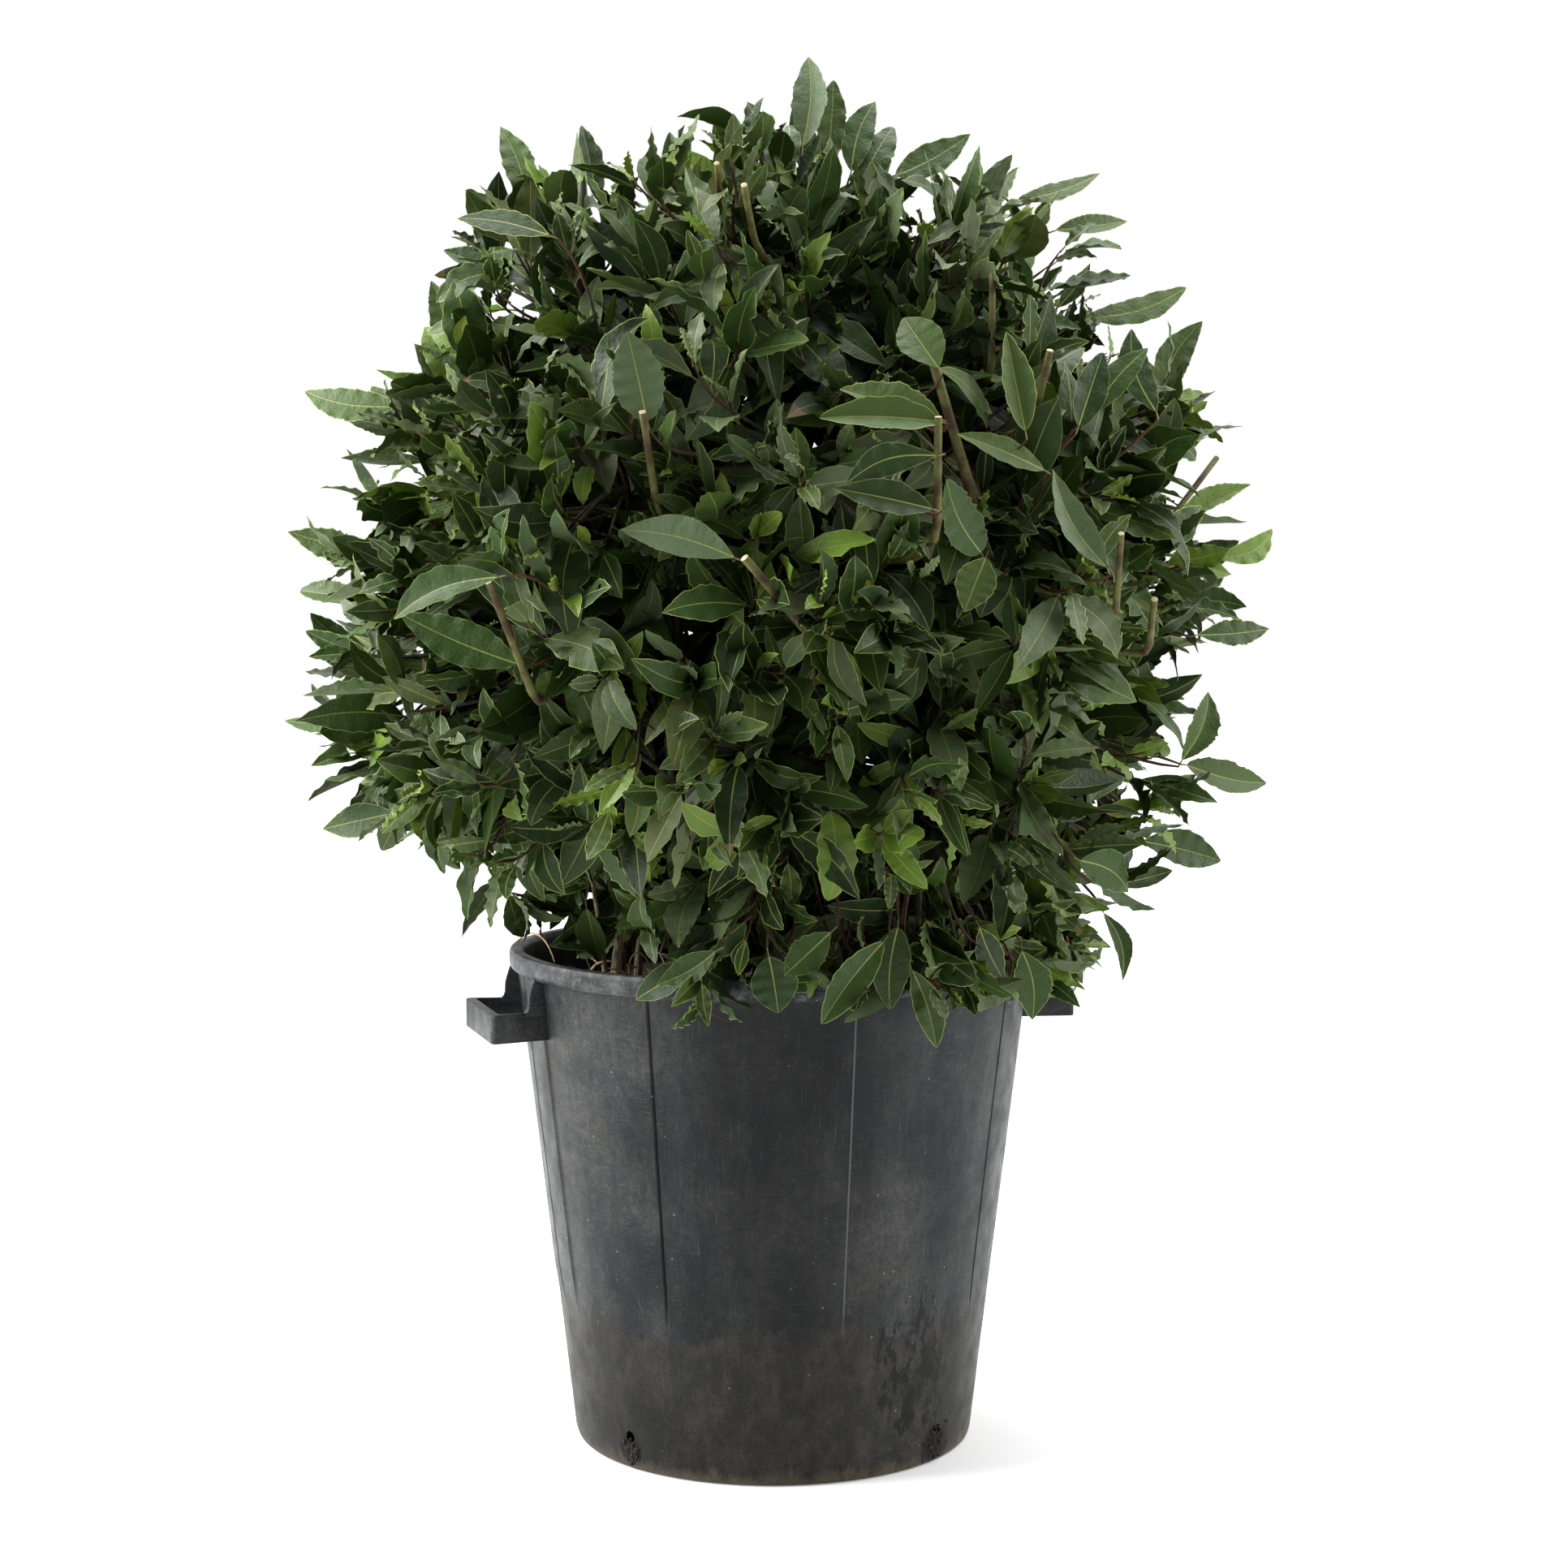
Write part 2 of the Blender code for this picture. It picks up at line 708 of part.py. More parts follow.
def leaf_way(along, turn, spread):
    """A direction that leaves a shoot's line by an angle, at one turn about it."""
    side = along.orthogonal().normalized()
    side.rotate(Matrix.Rotation(turn, 3, along))
    return (along * math.cos(spread) + side * math.sin(spread)).normalized()


def cut_flat(bm, point, normal):
    """Cut away what lies beyond a plane, and close the cut with a flat face."""
    everything = list(bm.verts) + list(bm.edges) + list(bm.faces)
    cut = bmesh.ops.bisect_plane(
        bm, geom=everything, plane_co=point, plane_no=normal, clear_outer=True
    )
    edges = [item for item in cut["geom_cut"] if isinstance(item, bmesh.types.BMEdge)]
    if edges:
        bmesh.ops.edgeloop_fill(bm, edges=edges)


def core_mesh(mass):
    """The dense inside of a mass: the crown's form, well under its outline, cut to its space."""
    bm = bmesh.new()
    bmesh.ops.create_icosphere(bm, subdivisions=2, radius=1.0)
    for vert in bm.verts:
        way = vert.co.normalized()
        span = (on_outline(CROWN_MIDDLE, way) - CROWN_MIDDLE).length - CORE_DEPTH
        vert.co = CROWN_MIDDLE + way * span
    for normal, offset in zip(mass.normals, mass.offsets):
        normal = Vector(normal)
        cut_flat(bm, normal * (offset - CORE_MARGIN), normal)
    cut_flat(bm, UP * (POT_HEIGHT + CORE_ABOVE_POT), -UP)
    bmesh.ops.remove_doubles(bm, verts=bm.verts, dist=CORE_WELD)
    bmesh.ops.triangulate(bm, faces=bm.faces)
    bmesh.ops.recalc_face_normals(bm, faces=bm.faces)
    mesh = bpy.data.meshes.new(mass.name)
    bm.to_mesh(mesh)
    bm.free()
    return mesh


def blade_tree(points):
    """A leaf's blade without the part by its foot, to test it against others."""
    foot, tip, left, right, upper, _ = points
    near_left = foot.lerp(left, FREE_BLADE)
    near_right = foot.lerp(right, FREE_BLADE)
    near = foot.lerp(upper, FREE_BLADE)
    corners = [near, near_left, left, tip, right, near_right, upper]
    faces = [(0, 1, 2, 6), (6, 2, 3), (6, 3, 4), (0, 6, 4, 5)]
    return BVHTree.FromPolygons(corners, faces)


def shoot_pieces(mass, tip, way, rng, limbs, blades):
    """The twig and the leaves of one shoot, as meshes."""
    end = tip - way * LEAF_LENGTH
    while not inside(mass, [end], SHOOT_ROOM) and (end - mass.hub).length > SHOOT_ROOM * 2:
        end = end.lerp(mass.hub, SHOOT_PULL)
    start = mass.entry.lerp(mass.hub, rng.uniform(*TWIG_ROOTS))
    points = bend(start, mass.way, end, way, TWIG_STEPS)
    if not inside(mass, points, TWIG_RADIUS) or not clear_of_pot(points[1:]):
        return []
    pieces = [twig_mesh(points, taper(TWIG_RADIUS, TWIG_TIP_RADIUS, TWIG_STEPS + 1), 3)]
    turn = rng.uniform(0.0, 2 * math.pi)
    back = (points[-2] - end).normalized()
    for number, spread in enumerate(LEAF_SPREADS):
        foot = end + back * (LEAF_SUNK + number * LEAF_STEP)
        length = LEAF_LENGTH * rng.uniform(*LEAF_SIZES)
        tries = [
            (leaf_way(way, turn + number * GOLDEN_TURN + swing, math.radians(spread)), length)
            for swing in LEAF_SWINGS
        ]
        if number == 0:
            tries.insert(0, ((tip - foot).normalized(), (tip - foot).length))
        tries += [(along, length * SHORT_LEAF) for along, length in tries]
        for along, length in tries:
            placed = place_leaf(foot, along, way, length, rng)
            spread_out = sampled(placed)
            if number and not within_outline(placed[1], OVERREACH):
                continue
            if not (inside(mass, spread_out) and clear_of_pot(spread_out)):
                continue
            blade = blade_tree(placed)
            if clear(spread_out, limbs) and not any(blade.overlap(other) for other in blades):
                pieces.append(leaf_mesh(placed))
                blades.append(blade)
                break
    return pieces


def place_leaf(foot, along, way, length, rng):
    """A leaf's six points, its upper face turned to the shoot's tip and to the sky."""
    face = way + UP * LEAF_UPTURN
    face += Vector((rng.uniform(-1, 1), rng.uniform(-1, 1), 0.0)) * LEAF_UNEVEN
    if abs(face.normalized().dot(along)) > LEAF_EDGE_ON:
        face = way.orthogonal()
    frame = leaf_frame(foot, along, face)
    return [frame @ point for point in leaf_points(length)]


def limb_balls(limbs):
    """Balls along every limb, closer together than their radius: x, y, z, radius."""
    rows = []
    for limb in limbs:
        for i in range(len(limb.points) - 1):
            for t in np.linspace(0.0, 1.0, BALL_STEPS):
                point = limb.points[i].lerp(limb.points[i + 1], t)
                rows.append((*point, limb.radii[i] + (limb.radii[i + 1] - limb.radii[i]) * t))
    return np.array(rows)


def clear(points, balls):
    """Whether the points keep clear of every limb."""
    rows = np.array(points)
    apart = np.linalg.norm(rows[:, None, :] - balls[None, :, :3], axis=2)
    return bool((apart > balls[None, :, 3] + LIMB_CLEARANCE).all())


def shells(bm):
    """The separate shells of a mesh, as lists of faces."""
    left = set(bm.faces)
    found = []
    while left:
        front = [left.pop()]
        shell = list(front)
        while front:
            face = front.pop()
            for edge in face.edges:
                for other in edge.link_faces:
                    if other in left:
                        left.discard(other)
                        front.append(other)
                        shell.append(other)
        found.append(shell)
    return found


def volume(faces):
    """Signed volume inside a closed shell."""
    total = 0.0
    for face in faces:
        first, *rest = [vert.co for vert in face.verts]
        for one, two in zip(rest, rest[1:]):
            total += first.dot(one.cross(two)) / 6.0
    return total


def keep_one_body(mesh):
    """Drop loose scraps and fill sealed hollows: only the largest shell stays."""
    bm = bmesh.new()
    bm.from_mesh(mesh)
    bmesh.ops.dissolve_degenerate(bm, edges=bm.edges, dist=WELD)
    bmesh.ops.dissolve_limit(
        bm, angle_limit=FLAT, verts=bm.verts, edges=bm.edges, delimit={"NORMAL"}
    )
    bmesh.ops.triangulate(bm, faces=bm.faces)
    found = sorted(shells(bm), key=volume)
    extra = [face for shell in found[:-1] for face in shell]
    bmesh.ops.delete(bm, geom=extra, context="FACES")
    bm.to_mesh(mesh)
    bm.free()


def make_foliage(masses, limbs, parts):
    balls = limb_balls(limbs)
    ends = shoot_ends(masses)
    for index, mass in enumerate(masses):
        rng = random.Random(SEED * 100 + index)
        body = new_object(mass.name, core_mesh(mass), parts)
        pieces = new_collection("foliage_pieces")
        new_object("stalk", twig_mesh([mass.entry, mass.hub], STALK_RADII, STALK_SIDES), pieces)
        blades = []
        for owner, tip, way in ends:
            if owner == index:
                for mesh in shoot_pieces(mass, tip, way, rng, balls, blades):
                    new_object(mesh.name, mesh, pieces)
        boolean(body, "UNION", group=pieces)
        apply_all(body)
        for thing in list(pieces.objects):
            bpy.data.objects.remove(thing, do_unlink=True)
        bpy.data.collections.remove(pieces)
        keep_one_body(body.data)
        finish(body, "foliage", smooth=False)


def main():
    clear_scene()
    parts = new_collection(NAME)
    cutters = new_collection("cutters")
    make_pot(parts, cutters)
    make_soil(parts)
    make_handles(parts, cutters)
    masses = make_masses()
    stems = make_stems()
    boughs, carriers = make_boughs(stems, masses)
    build_limbs(stems, boughs, carriers, parts, cutters)
    make_foliage(masses, stems + boughs, parts)


main()
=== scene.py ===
"""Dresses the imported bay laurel: leaves and twigs for its masses, bark, a moulded tub and soil.

Metres, +Z up, in the row frame. The crown follows the same rule as the part's source, carried to
finer twigs: shoots end on the crown's outline by a golden-angle lattice, each belongs to the
nearest mass, and it grows from that mass's stem. A place in the picture is written as metres to
the right of the tub's axis and above the floor, on the upright plane through the axis.
"""

import math
import random
from collections import namedtuple

import bmesh
import bpy
import numpy as np
from mathutils import Matrix, Vector


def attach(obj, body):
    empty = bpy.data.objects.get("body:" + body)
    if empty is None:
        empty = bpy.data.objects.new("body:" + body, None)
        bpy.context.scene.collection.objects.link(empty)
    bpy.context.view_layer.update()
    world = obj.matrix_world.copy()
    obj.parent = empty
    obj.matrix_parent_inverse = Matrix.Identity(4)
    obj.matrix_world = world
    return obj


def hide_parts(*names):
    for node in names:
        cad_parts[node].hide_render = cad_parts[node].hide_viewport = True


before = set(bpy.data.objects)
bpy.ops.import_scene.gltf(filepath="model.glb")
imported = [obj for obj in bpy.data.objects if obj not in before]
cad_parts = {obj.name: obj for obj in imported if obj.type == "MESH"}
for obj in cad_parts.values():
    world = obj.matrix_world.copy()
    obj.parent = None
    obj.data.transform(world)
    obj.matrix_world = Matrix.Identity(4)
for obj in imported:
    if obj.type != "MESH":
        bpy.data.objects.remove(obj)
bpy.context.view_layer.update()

BODY = "root"
SEED = 27
UP = Vector((0.0, 0.0, 1.0))
SKY = np.array((0.0, 0.0, 1.0))
ALONG_X = np.array((1.0, 0.0, 0.0))
ANY_TURN = (0.0, 6.28)  # bounds of a random turn or phase
MERGE = 1e-6

# The photograph's camera, in its frame of 1932 pixels a side
PHOTO_SIDE = 1932
PHOTO_FOCAL = 3513.0  # pixels
SENSOR = 36.0  # millimetres
CAMERA_DISTANCE = 2.960  # from the tub's axis
CAMERA_HEIGHT = 0.895
CAMERA_PITCH = math.radians(4.15)  # downwards
AXIS_PIXEL = 953.0  # where the tub's axis crosses the picture
VIEW_TURN = math.radians(-17.5)  # where the right of the picture lies, from +X
VIEW_RIGHT = np.array((math.cos(VIEW_TURN), math.sin(VIEW_TURN), 0.0))
VIEW_AWAY = np.array((-math.sin(VIEW_TURN), math.cos(VIEW_TURN), 0.0))
CAMERA_PLACE = SKY * CAMERA_HEIGHT - VIEW_AWAY * CAMERA_DISTANCE

# Tub
POT_HEIGHT = 0.513
POT_FOOT_RADIUS = 0.2066
POT_WALL_RADIUS = 0.2650
POT_WALL = 0.0030
POT_FLOOR = 0.0040
RIM_RADIUS = 0.2750
RIM_HEIGHT = 0.0205
LIP = POT_HEIGHT - RIM_HEIGHT  # height of the rim's underside
# The rim, from inside over its top to its underside outside: radius and height
RIM_OUTLINE = (
    (0.2605, 0.4925), (0.2605, 0.5060), (0.2611, 0.5100), (0.2629, 0.5124), (0.2655, 0.5130),
    (0.2700, 0.5130), (0.2730, 0.5122), (0.2746, 0.5098), (0.2750, 0.5060), (0.2749, 0.4990),
    (0.2742, 0.4950), (0.2722, 0.4927), (0.2690, 0.4925),
)
# The rounded foot: metres inwards from its radius, height, and share of the wall's relief
FOOT_OUTLINE = ((0.0, 0.0055, 0.6), (0.0012, 0.0026, 0.2), (0.0035, 0.0008, 0.0), (0.0065, 0.0, 0.0))
SEAM_STEP = 45.0  # degrees from one seam or rib to the next
SEAM_TURNS = np.arange(0.0, 360.0, SEAM_STEP)
RIBS = (2, 6)  # numbers of the turns with a rib in place of a groove
RIB_HALF_TURN = 0.3
RIB_RISE = 0.0009
GROOVE_HALF_TURN = 0.5
GROOVE_DEPTH = 0.0021
SEAM_FOOT = (0.150, 0.185)  # seams fade out between these heights
PANEL_HALF_TURN = 10.5  # of the raised panel under each handle, in degrees
PANEL_EDGE = 0.6
PANEL_RISE = 0.0016
DRAIN_RADIUS = 0.0060
DRAIN_HEIGHT = 0.0350
DRAIN_TURNS = (29.5, 123.5, 209.5, 303.5)
CLOD_HEIGHT = 0.021  # of the earth washed out of the drain holes
CLOD_LUMPS = 80
CLOD_SIZES = (0.8, 1.0, 0.8, 1.5)
CLOD_SPREAD = (0.0060, 0.0065)  # along the wall and up it
STAIN_HEIGHT = 0.108
STAIN_TURN = math.radians(-46.0)  # from the right of the picture towards the viewer

# Soil
SOIL_HEIGHT = 0.4720
SOIL_EDGE_DROP = 0.0090
SOIL_GAP = 0.0008  # from the wall
SOIL_SIDES = 96
LITTER = 260  # dry stalks and roots that lie on the soil

# Stalks and root loops at the left, each as four places of a bend, with metres towards the
# viewer, and its radius
LEFT_STALKS = (
    (((-0.268, 0.516, -0.02), (-0.250, 0.534, 0.00),
      (-0.236, 0.520, 0.02), (-0.229, 0.494, 0.03)), 0.0012),
    (((-0.150, 0.480, 0.02), (-0.155, 0.510, 0.02),
      (-0.130, 0.512, 0.03), (-0.128, 0.480, 0.04)), 0.0013),
    (((-0.190, 0.486, 0.00), (-0.180, 0.500, 0.01),
      (-0.165, 0.494, 0.02), (-0.140, 0.487, 0.04)), 0.0016),
    (((-0.205, 0.498, -0.03), (-0.198, 0.506, -0.02),
      (-0.190, 0.498, 0.00), (-0.176, 0.486, 0.01)), 0.0010),
)
# Thin side stems there: foot and top, as places and metres towards the viewer, and two radii
SIDE_STEMS = (
    ((-0.163, 0.462, 0.040), (-0.128, 0.640, 0.010), 0.0082, 0.0052),
    ((-0.142, 0.470, 0.000), (-0.118, 0.620, -0.020), 0.0046, 0.0034),
    ((-0.176, 0.466, 0.020), (-0.190, 0.590, 0.000), 0.0030, 0.0022),
)

# Handles
HANDLE_RADIUS = 0.3140
HANDLE_BAR = 0.0100
HANDLE_BOTTOM = 0.4320
HANDLE_TOP = 0.4610
HANDLE_HALF_TURN = math.radians(12.0)
HANDLE_CORNER = 0.006
HANDLE_EDGE = 0.0012
GUSSET_THICKNESS = 0.0070
SUNK = 0.001  # how far handles reach into the wall
# A gusset's outer edge, from the grip up to the rim: radius, and height above the grip's top
GUSSET_EDGE = (
    (0.2860, -0.0040), (0.2830, 0.0005), (0.2812, 0.0025), (0.2800, 0.0060), (0.2795, 0.0170),
)

# Crown outline: height, reach to the left and reach to the right
CROWN_LEVELS = (
    (0.500, 0.235, 0.372), (0.545, 0.250, 0.376), (0.590, 0.288, 0.385), (0.615, 0.325, 0.435),
    (0.635, 0.455, 0.456), (0.700, 0.478, 0.458), (0.785, 0.488, 0.440), (0.850, 0.488, 0.475),
    (0.920, 0.480, 0.492), (0.980, 0.450, 0.478), (1.060, 0.440, 0.466), (1.110, 0.412, 0.450),
    (1.160, 0.382, 0.416), (1.210, 0.340, 0.358), (1.260, 0.322, 0.335), (1.310, 0.292, 0.280),
    (1.340, 0.262, 0.180), (1.358, 0.190, 0.110), (1.376, 0.025, 0.080), (1.390, 0.000, 0.000),
)
HEIGHTS, LEFTS, RIGHTS = (np.array(row) for row in zip(*CROWN_LEVELS))
SOUGHT = (0.60, -0.30)  # towards the viewer, where the crown's front is looked for
SOUGHT_STEPS = 181
RIM_HANG = 0.030  # how far outside the rim leaves hang
CROWN_MIDDLE = np.array((0.0, 0.0, 0.880))
CROWN_SPAN = 0.80
CROWN_DEPTH = 0.945  # the crown's depth over its width
CROWN_BOTTOM = 0.512
BARE_TURN = math.radians(203.0)  # there, at the left and front, the crown stops higher
BARE_RISE = 0.045
BARE_HALF_TURN = math.radians(34.0)
APRON_TURNS = (math.radians(-130.0), math.radians(0.0))  # where shoots hang over the rim
APRON_SHOOTS = 66
APRON_RADII = (0.300, 0.345)
APRON_TIPS = (0.468, 0.530)
HALVINGS = 24
# Directions and phases of waves over the crown, for its clumps and the hollows between
CLUMP_WAVES = (
    (9.1, 3.2, -7.4, 0.4),
    (-5.3, 8.7, 6.1, 2.1),
    (2.6, -9.8, 8.3, 4.0),
    (10.3, -4.1, 3.9, 5.2),
)

# Leaves that stand out in the photograph: places of foot and tip in the picture, width and tone
FRONT_LEAVES = (
    (-0.040, 0.915, -0.160, 0.950, 0.042, "blue"), (-0.130, 1.055, -0.150, 1.145, 0.046, "blue"),
    (0.170, 1.055, 0.050, 1.060, 0.040, "mid"), (0.172, 1.058, 0.070, 1.090, 0.040, "mid"),
    (-0.265, 0.805, -0.385, 0.855, 0.046, "green"), (-0.285, 0.895, -0.405, 0.860, 0.038, "green"),
    (-0.230, 1.245, -0.325, 1.270, 0.034, "dark"), (0.220, 0.915, 0.200, 0.860, 0.038, "mid"),
    (0.215, 0.920, 0.175, 0.995, 0.044, "green"), (0.345, 0.905, 0.290, 1.005, 0.034, "blue"),
    (0.260, 1.045, 0.240, 1.145, 0.034, "mid"), (0.170, 1.110, 0.135, 1.165, 0.046, "mid"),
    (0.280, 1.005, 0.195, 1.045, 0.030, "mid"), (0.165, 0.965, 0.065, 0.990, 0.034, "dark"),
    (0.170, 1.020, 0.075, 0.990, 0.030, "dark"), (0.315, 1.050, 0.340, 1.125, 0.032, "dark"),
    (0.330, 1.065, 0.385, 1.130, 0.028, "green"), (0.395, 1.065, 0.370, 1.150, 0.034, "dark"),
    (0.320, 0.600, 0.380, 0.565, 0.040, "green"), (-0.195, 0.550, -0.185, 0.490, 0.036, "mid"),
)
HANGING_LEAVES = (
    (-0.005, 0.500, 0.005, 0.440, 0.046, "dark"), (0.145, 0.485, 0.170, 0.405, 0.034, "green"),
    (0.130, 0.530, 0.122, 0.445, 0.038, "dark"), (0.115, 0.515, 0.050, 0.430, 0.036, "green"),
    (0.260, 0.505, 0.270, 0.435, 0.040, "green"), (0.345, 0.545, 0.365, 0.475, 0.022, "green"),
    (-0.060, 0.505, -0.120, 0.470, 0.032, "green"), (0.215, 0.530, 0.240, 0.475, 0.030, "dark"),
    (0.060, 0.525, 0.012, 0.480, 0.034, "green"),
)
EDGE_LEAVES = (
    (0.030, 1.335, 0.035, 1.430, 0.037, "blue"), (0.080, 1.310, 0.105, 1.388, 0.032, "green"),
    (0.055, 1.310, 0.062, 1.402, 0.030, "mid"), (0.090, 1.300, 0.124, 1.362, 0.036, "green"),
    (0.010, 1.290, -0.012, 1.368, 0.034, "green"), (-0.040, 1.280, -0.046, 1.364, 0.036, "green"),
    (-0.090, 1.260, -0.105, 1.345, 0.032, "mid"), (0.050, 1.290, 0.020, 1.372, 0.036, "dark"),
    (0.125, 1.305, 0.200, 1.345, 0.038, "green"), (-0.250, 1.270, -0.280, 1.360, 0.034, "mid"),
    (-0.180, 1.280, -0.195, 1.358, 0.028, "dark"), (0.250, 1.280, 0.335, 1.315, 0.024, "mid"),
    (0.290, 1.250, 0.365, 1.265, 0.026, "mid"), (0.320, 1.160, 0.425, 1.200, 0.032, "mid"),
    (0.400, 1.080, 0.440, 1.155, 0.036, "mid"), (0.455, 0.915, 0.525, 0.950, 0.028, "fresh"),
    (0.440, 0.835, 0.518, 0.845, 0.030, "green"), (0.430, 0.700, 0.518, 0.685, 0.036, "mid"),
    (0.425, 0.705, 0.460, 0.780, 0.036, "mid"), (-0.390, 1.070, -0.488, 1.095, 0.038, "mid"),
    (-0.415, 0.915, -0.498, 0.940, 0.034, "mid"), (-0.430, 0.750, -0.505, 0.745, 0.028, "mid"),
    (-0.395, 0.650, -0.472, 0.635, 0.036, "green"), (-0.390, 0.675, -0.408, 0.612, 0.036, "mid"),
    (0.385, 0.620, 0.465, 0.600, 0.042, "green"), (-0.340, 1.120, -0.350, 1.195, 0.030, "mid"),
    (-0.260, 1.220, -0.335, 1.225, 0.032, "dark"), (0.400, 1.010, 0.455, 1.060, 0.026, "green"),
    (-0.420, 0.870, -0.494, 0.888, 0.030, "mid"), (-0.405, 0.800, -0.482, 0.838, 0.028, "green"),
    (0.420, 0.955, 0.492, 0.990, 0.026, "fresh"), (0.400, 1.060, 0.452, 1.085, 0.026, "fresh"),
    (-0.350, 1.040, -0.442, 1.062, 0.030, "green"),
)
MARKED_PROUD = 0.010  # how far these leaves stand out of the crown's surface
TIP_PROUD = 0.008  # and their tips further
HANGING_PROUD = 0.006
EDGE_NEAR = 0.03  # how far in front of the axis's plane the feet at the edges are
MARKED_LIMP = 0.45
MARKED_WAVE = 0.55
MARKED_ROOM = 0.010  # clear of other leaves round the front ones
HANGING_ROOM = -0.003
BEHIND = 0.006  # leaves so far behind a marked thing stay
LEAF_SLOPE = 0.028  # the most that such a leaf's tip is nearer or further than its foot
CUT_SLOPE = 0.060  # and a pruned shoot's end

# Pruned shoots in the picture: where each comes out of the leaves, where it was cut, and radius
CUT_SHOOTS = (
    (-0.120, 0.965, -0.135, 1.065, 0.0034), (0.205, 0.980, 0.165, 1.115, 0.0048),
    (0.170, 0.955, 0.170, 1.060, 0.0036), (0.030, 0.845, -0.030, 0.915, 0.0040),
    (-0.250, 0.775, -0.295, 0.890, 0.0034), (0.270, 1.060, 0.285, 1.128, 0.0034),
    (0.355, 0.860, 0.360, 0.940, 0.0030), (0.225, 1.150, 0.225, 1.206, 0.0030),
    (-0.022, 1.250, -0.030, 1.296, 0.0032), (-0.055, 1.285, -0.058, 1.318, 0.0026),
    (0.400, 0.940, 0.458, 1.018, 0.0030), (0.390, 0.825, 0.395, 0.872, 0.0032),
)
CUT_PROUD = 0.016
CUT_SUNK = 0.045
CUT_ROOM = 0.008
CUT_HIDDEN = 0.5  # share of each that leaves may hide
OTHER_CUTS = 30  # pruned shoots all round, of which those on the far side are built
OTHER_INSET = (0.0, 0.03)
OTHER_LENGTH = 0.09
OTHER_RADII = (0.0028, 0.0042)
# Gaps in the picture where sky shows through the crown, each with its radius
SKY_GAPS = (
    (0.374, 1.161, 0.008), (0.278, 1.226, 0.007), (0.409, 0.805, 0.006), (-0.259, 1.172, 0.006),
    (0.103, 0.708, 0.004), (-0.384, 0.995, 0.004), (-0.105, 0.720, 0.004), (0.143, 1.274, 0.004),
    (-0.015, 1.057, 0.004), (0.044, 1.032, 0.003), (0.135, 1.034, 0.003), (0.016, 0.924, 0.004),
    (-0.090, 0.830, 0.004), (0.150, 0.759, 0.004), (-0.369, 0.756, 0.004), (0.330, 1.124, 0.004),
    (-0.136, 1.290, 0.004),
)
UP_A_HAIR = SKY * 0.0001
GAP_CLEAR = 0.010  # further from a gap than its radius, a leaf's middle line leaves it open
# The brightest young shoots
YOUNG_SHOOTS = (
    (-0.055, 1.015), (0.050, 0.905), (-0.405, 1.100), (0.470, 0.940), (0.345, 0.915), (-0.350, 0.955),
)
GOLDEN_TURN = math.pi * (3.0 - math.sqrt(5.0))

# Limbs, as in the part's source
TRUNK_FOOT = (0.020, math.radians(200.0))
TRUNK_TOP = (0.007, math.radians(304.0), 0.985)
TRUNK_RADIUS = 0.0175
TRUNK_TOP_RADIUS = 0.0095
STEM_RADIUS = 0.0135
STEM_TOP_RADIUS = 0.0095
STEM_FOOT_RADII = (0.085, 0.125)
STEM_FOOT_SWING = 0.12
STEM_TOP = 0.092
STEM_TOP_HEIGHTS = (0.625, 0.655)
STEM_TURN = math.radians(18.0)
FLARE = 1.45  # of a stem's radius at its foot, which dies away within these steps:
FLARE_STEPS = 2.5
LOW_BOUGH_AT = 3
LOW_BOUGH_RISE = 0.9
TOP_BOUGH_AT = 0.45
TOP_BOUGH_RISE = 1.2
BOUGH_TIP_RADIUS = 0.0055
STALK_TIP_RADIUS = 0.0040
SIDE_BOUGH_RADIUS = 0.0072
LIMB_SIDES = 12
SIDE_STEM_SIDES = 10
STALK_POINTS = 12
LIMB_STEPS = 5
FINE_STEPS = 30
CLEARANCE = 0.0003  # between a stem's foot and the soil
LIMB_LEAD = 0.012
BEND_PULL = 0.38
HUB_SHARE = 0.75

# Tiers of masses, with the first mass's turn in degrees
Tier = namedtuple("Tier", "name count radius height inner entry turn")
TIERS = (
    Tier("low", 5, 0.305, 0.715, 0.152, 0.655, 16.0),
    Tier("middle", 5, 0.285, 1.000, 0.136, 0.905, 52.0),
    Tier("top", 3, 0.165, 1.235, 0.072, 1.090, 30.0),
)
Mass = namedtuple("Mass", "name tier turn middle entry way hub")
Limb = namedtuple("Limb", "name points radii")

# Branches and shoots
BRANCHES = 150
BRANCH_DEPTH = 0.175  # how far branch ends lie under the outline
SHOOTS = 760
LOWEST_SHOOT = math.radians(-60.0)
SHOOT_RISE = 0.42
APEX_DEPTH = 0.050  # from a shoot's apex to the outline
HOLLOW = 0.080  # how far the crown's surface sinks between its lumps
OUTREACH = 0.020  # how far a leaf may pass the outline
LEAVES_A_SHOOT = 9
LEAVES_A_BRANCH = 10
INNER_LEAVES = (0.085, 0.125)
LEAF_ROWS = 18
DEEP_LEAF_ROWS = 11
DEEP = 0.050  # leaves further under the crown's surface have fewer faces
MARKED_ROWS = 34
INNER_ROWS = 6
MARGIN = 0.0007  # width of a leaf's pale margin
RIB_HALF = 0.0007
VEIN_RISE = 0.00022  # how far every other row of a blade stands up, as its side veins do
PETIOLE_LENGTH = 0.008
PETIOLE_DROP = 0.0015
PETIOLE_RADII = (0.0011, 0.0008)

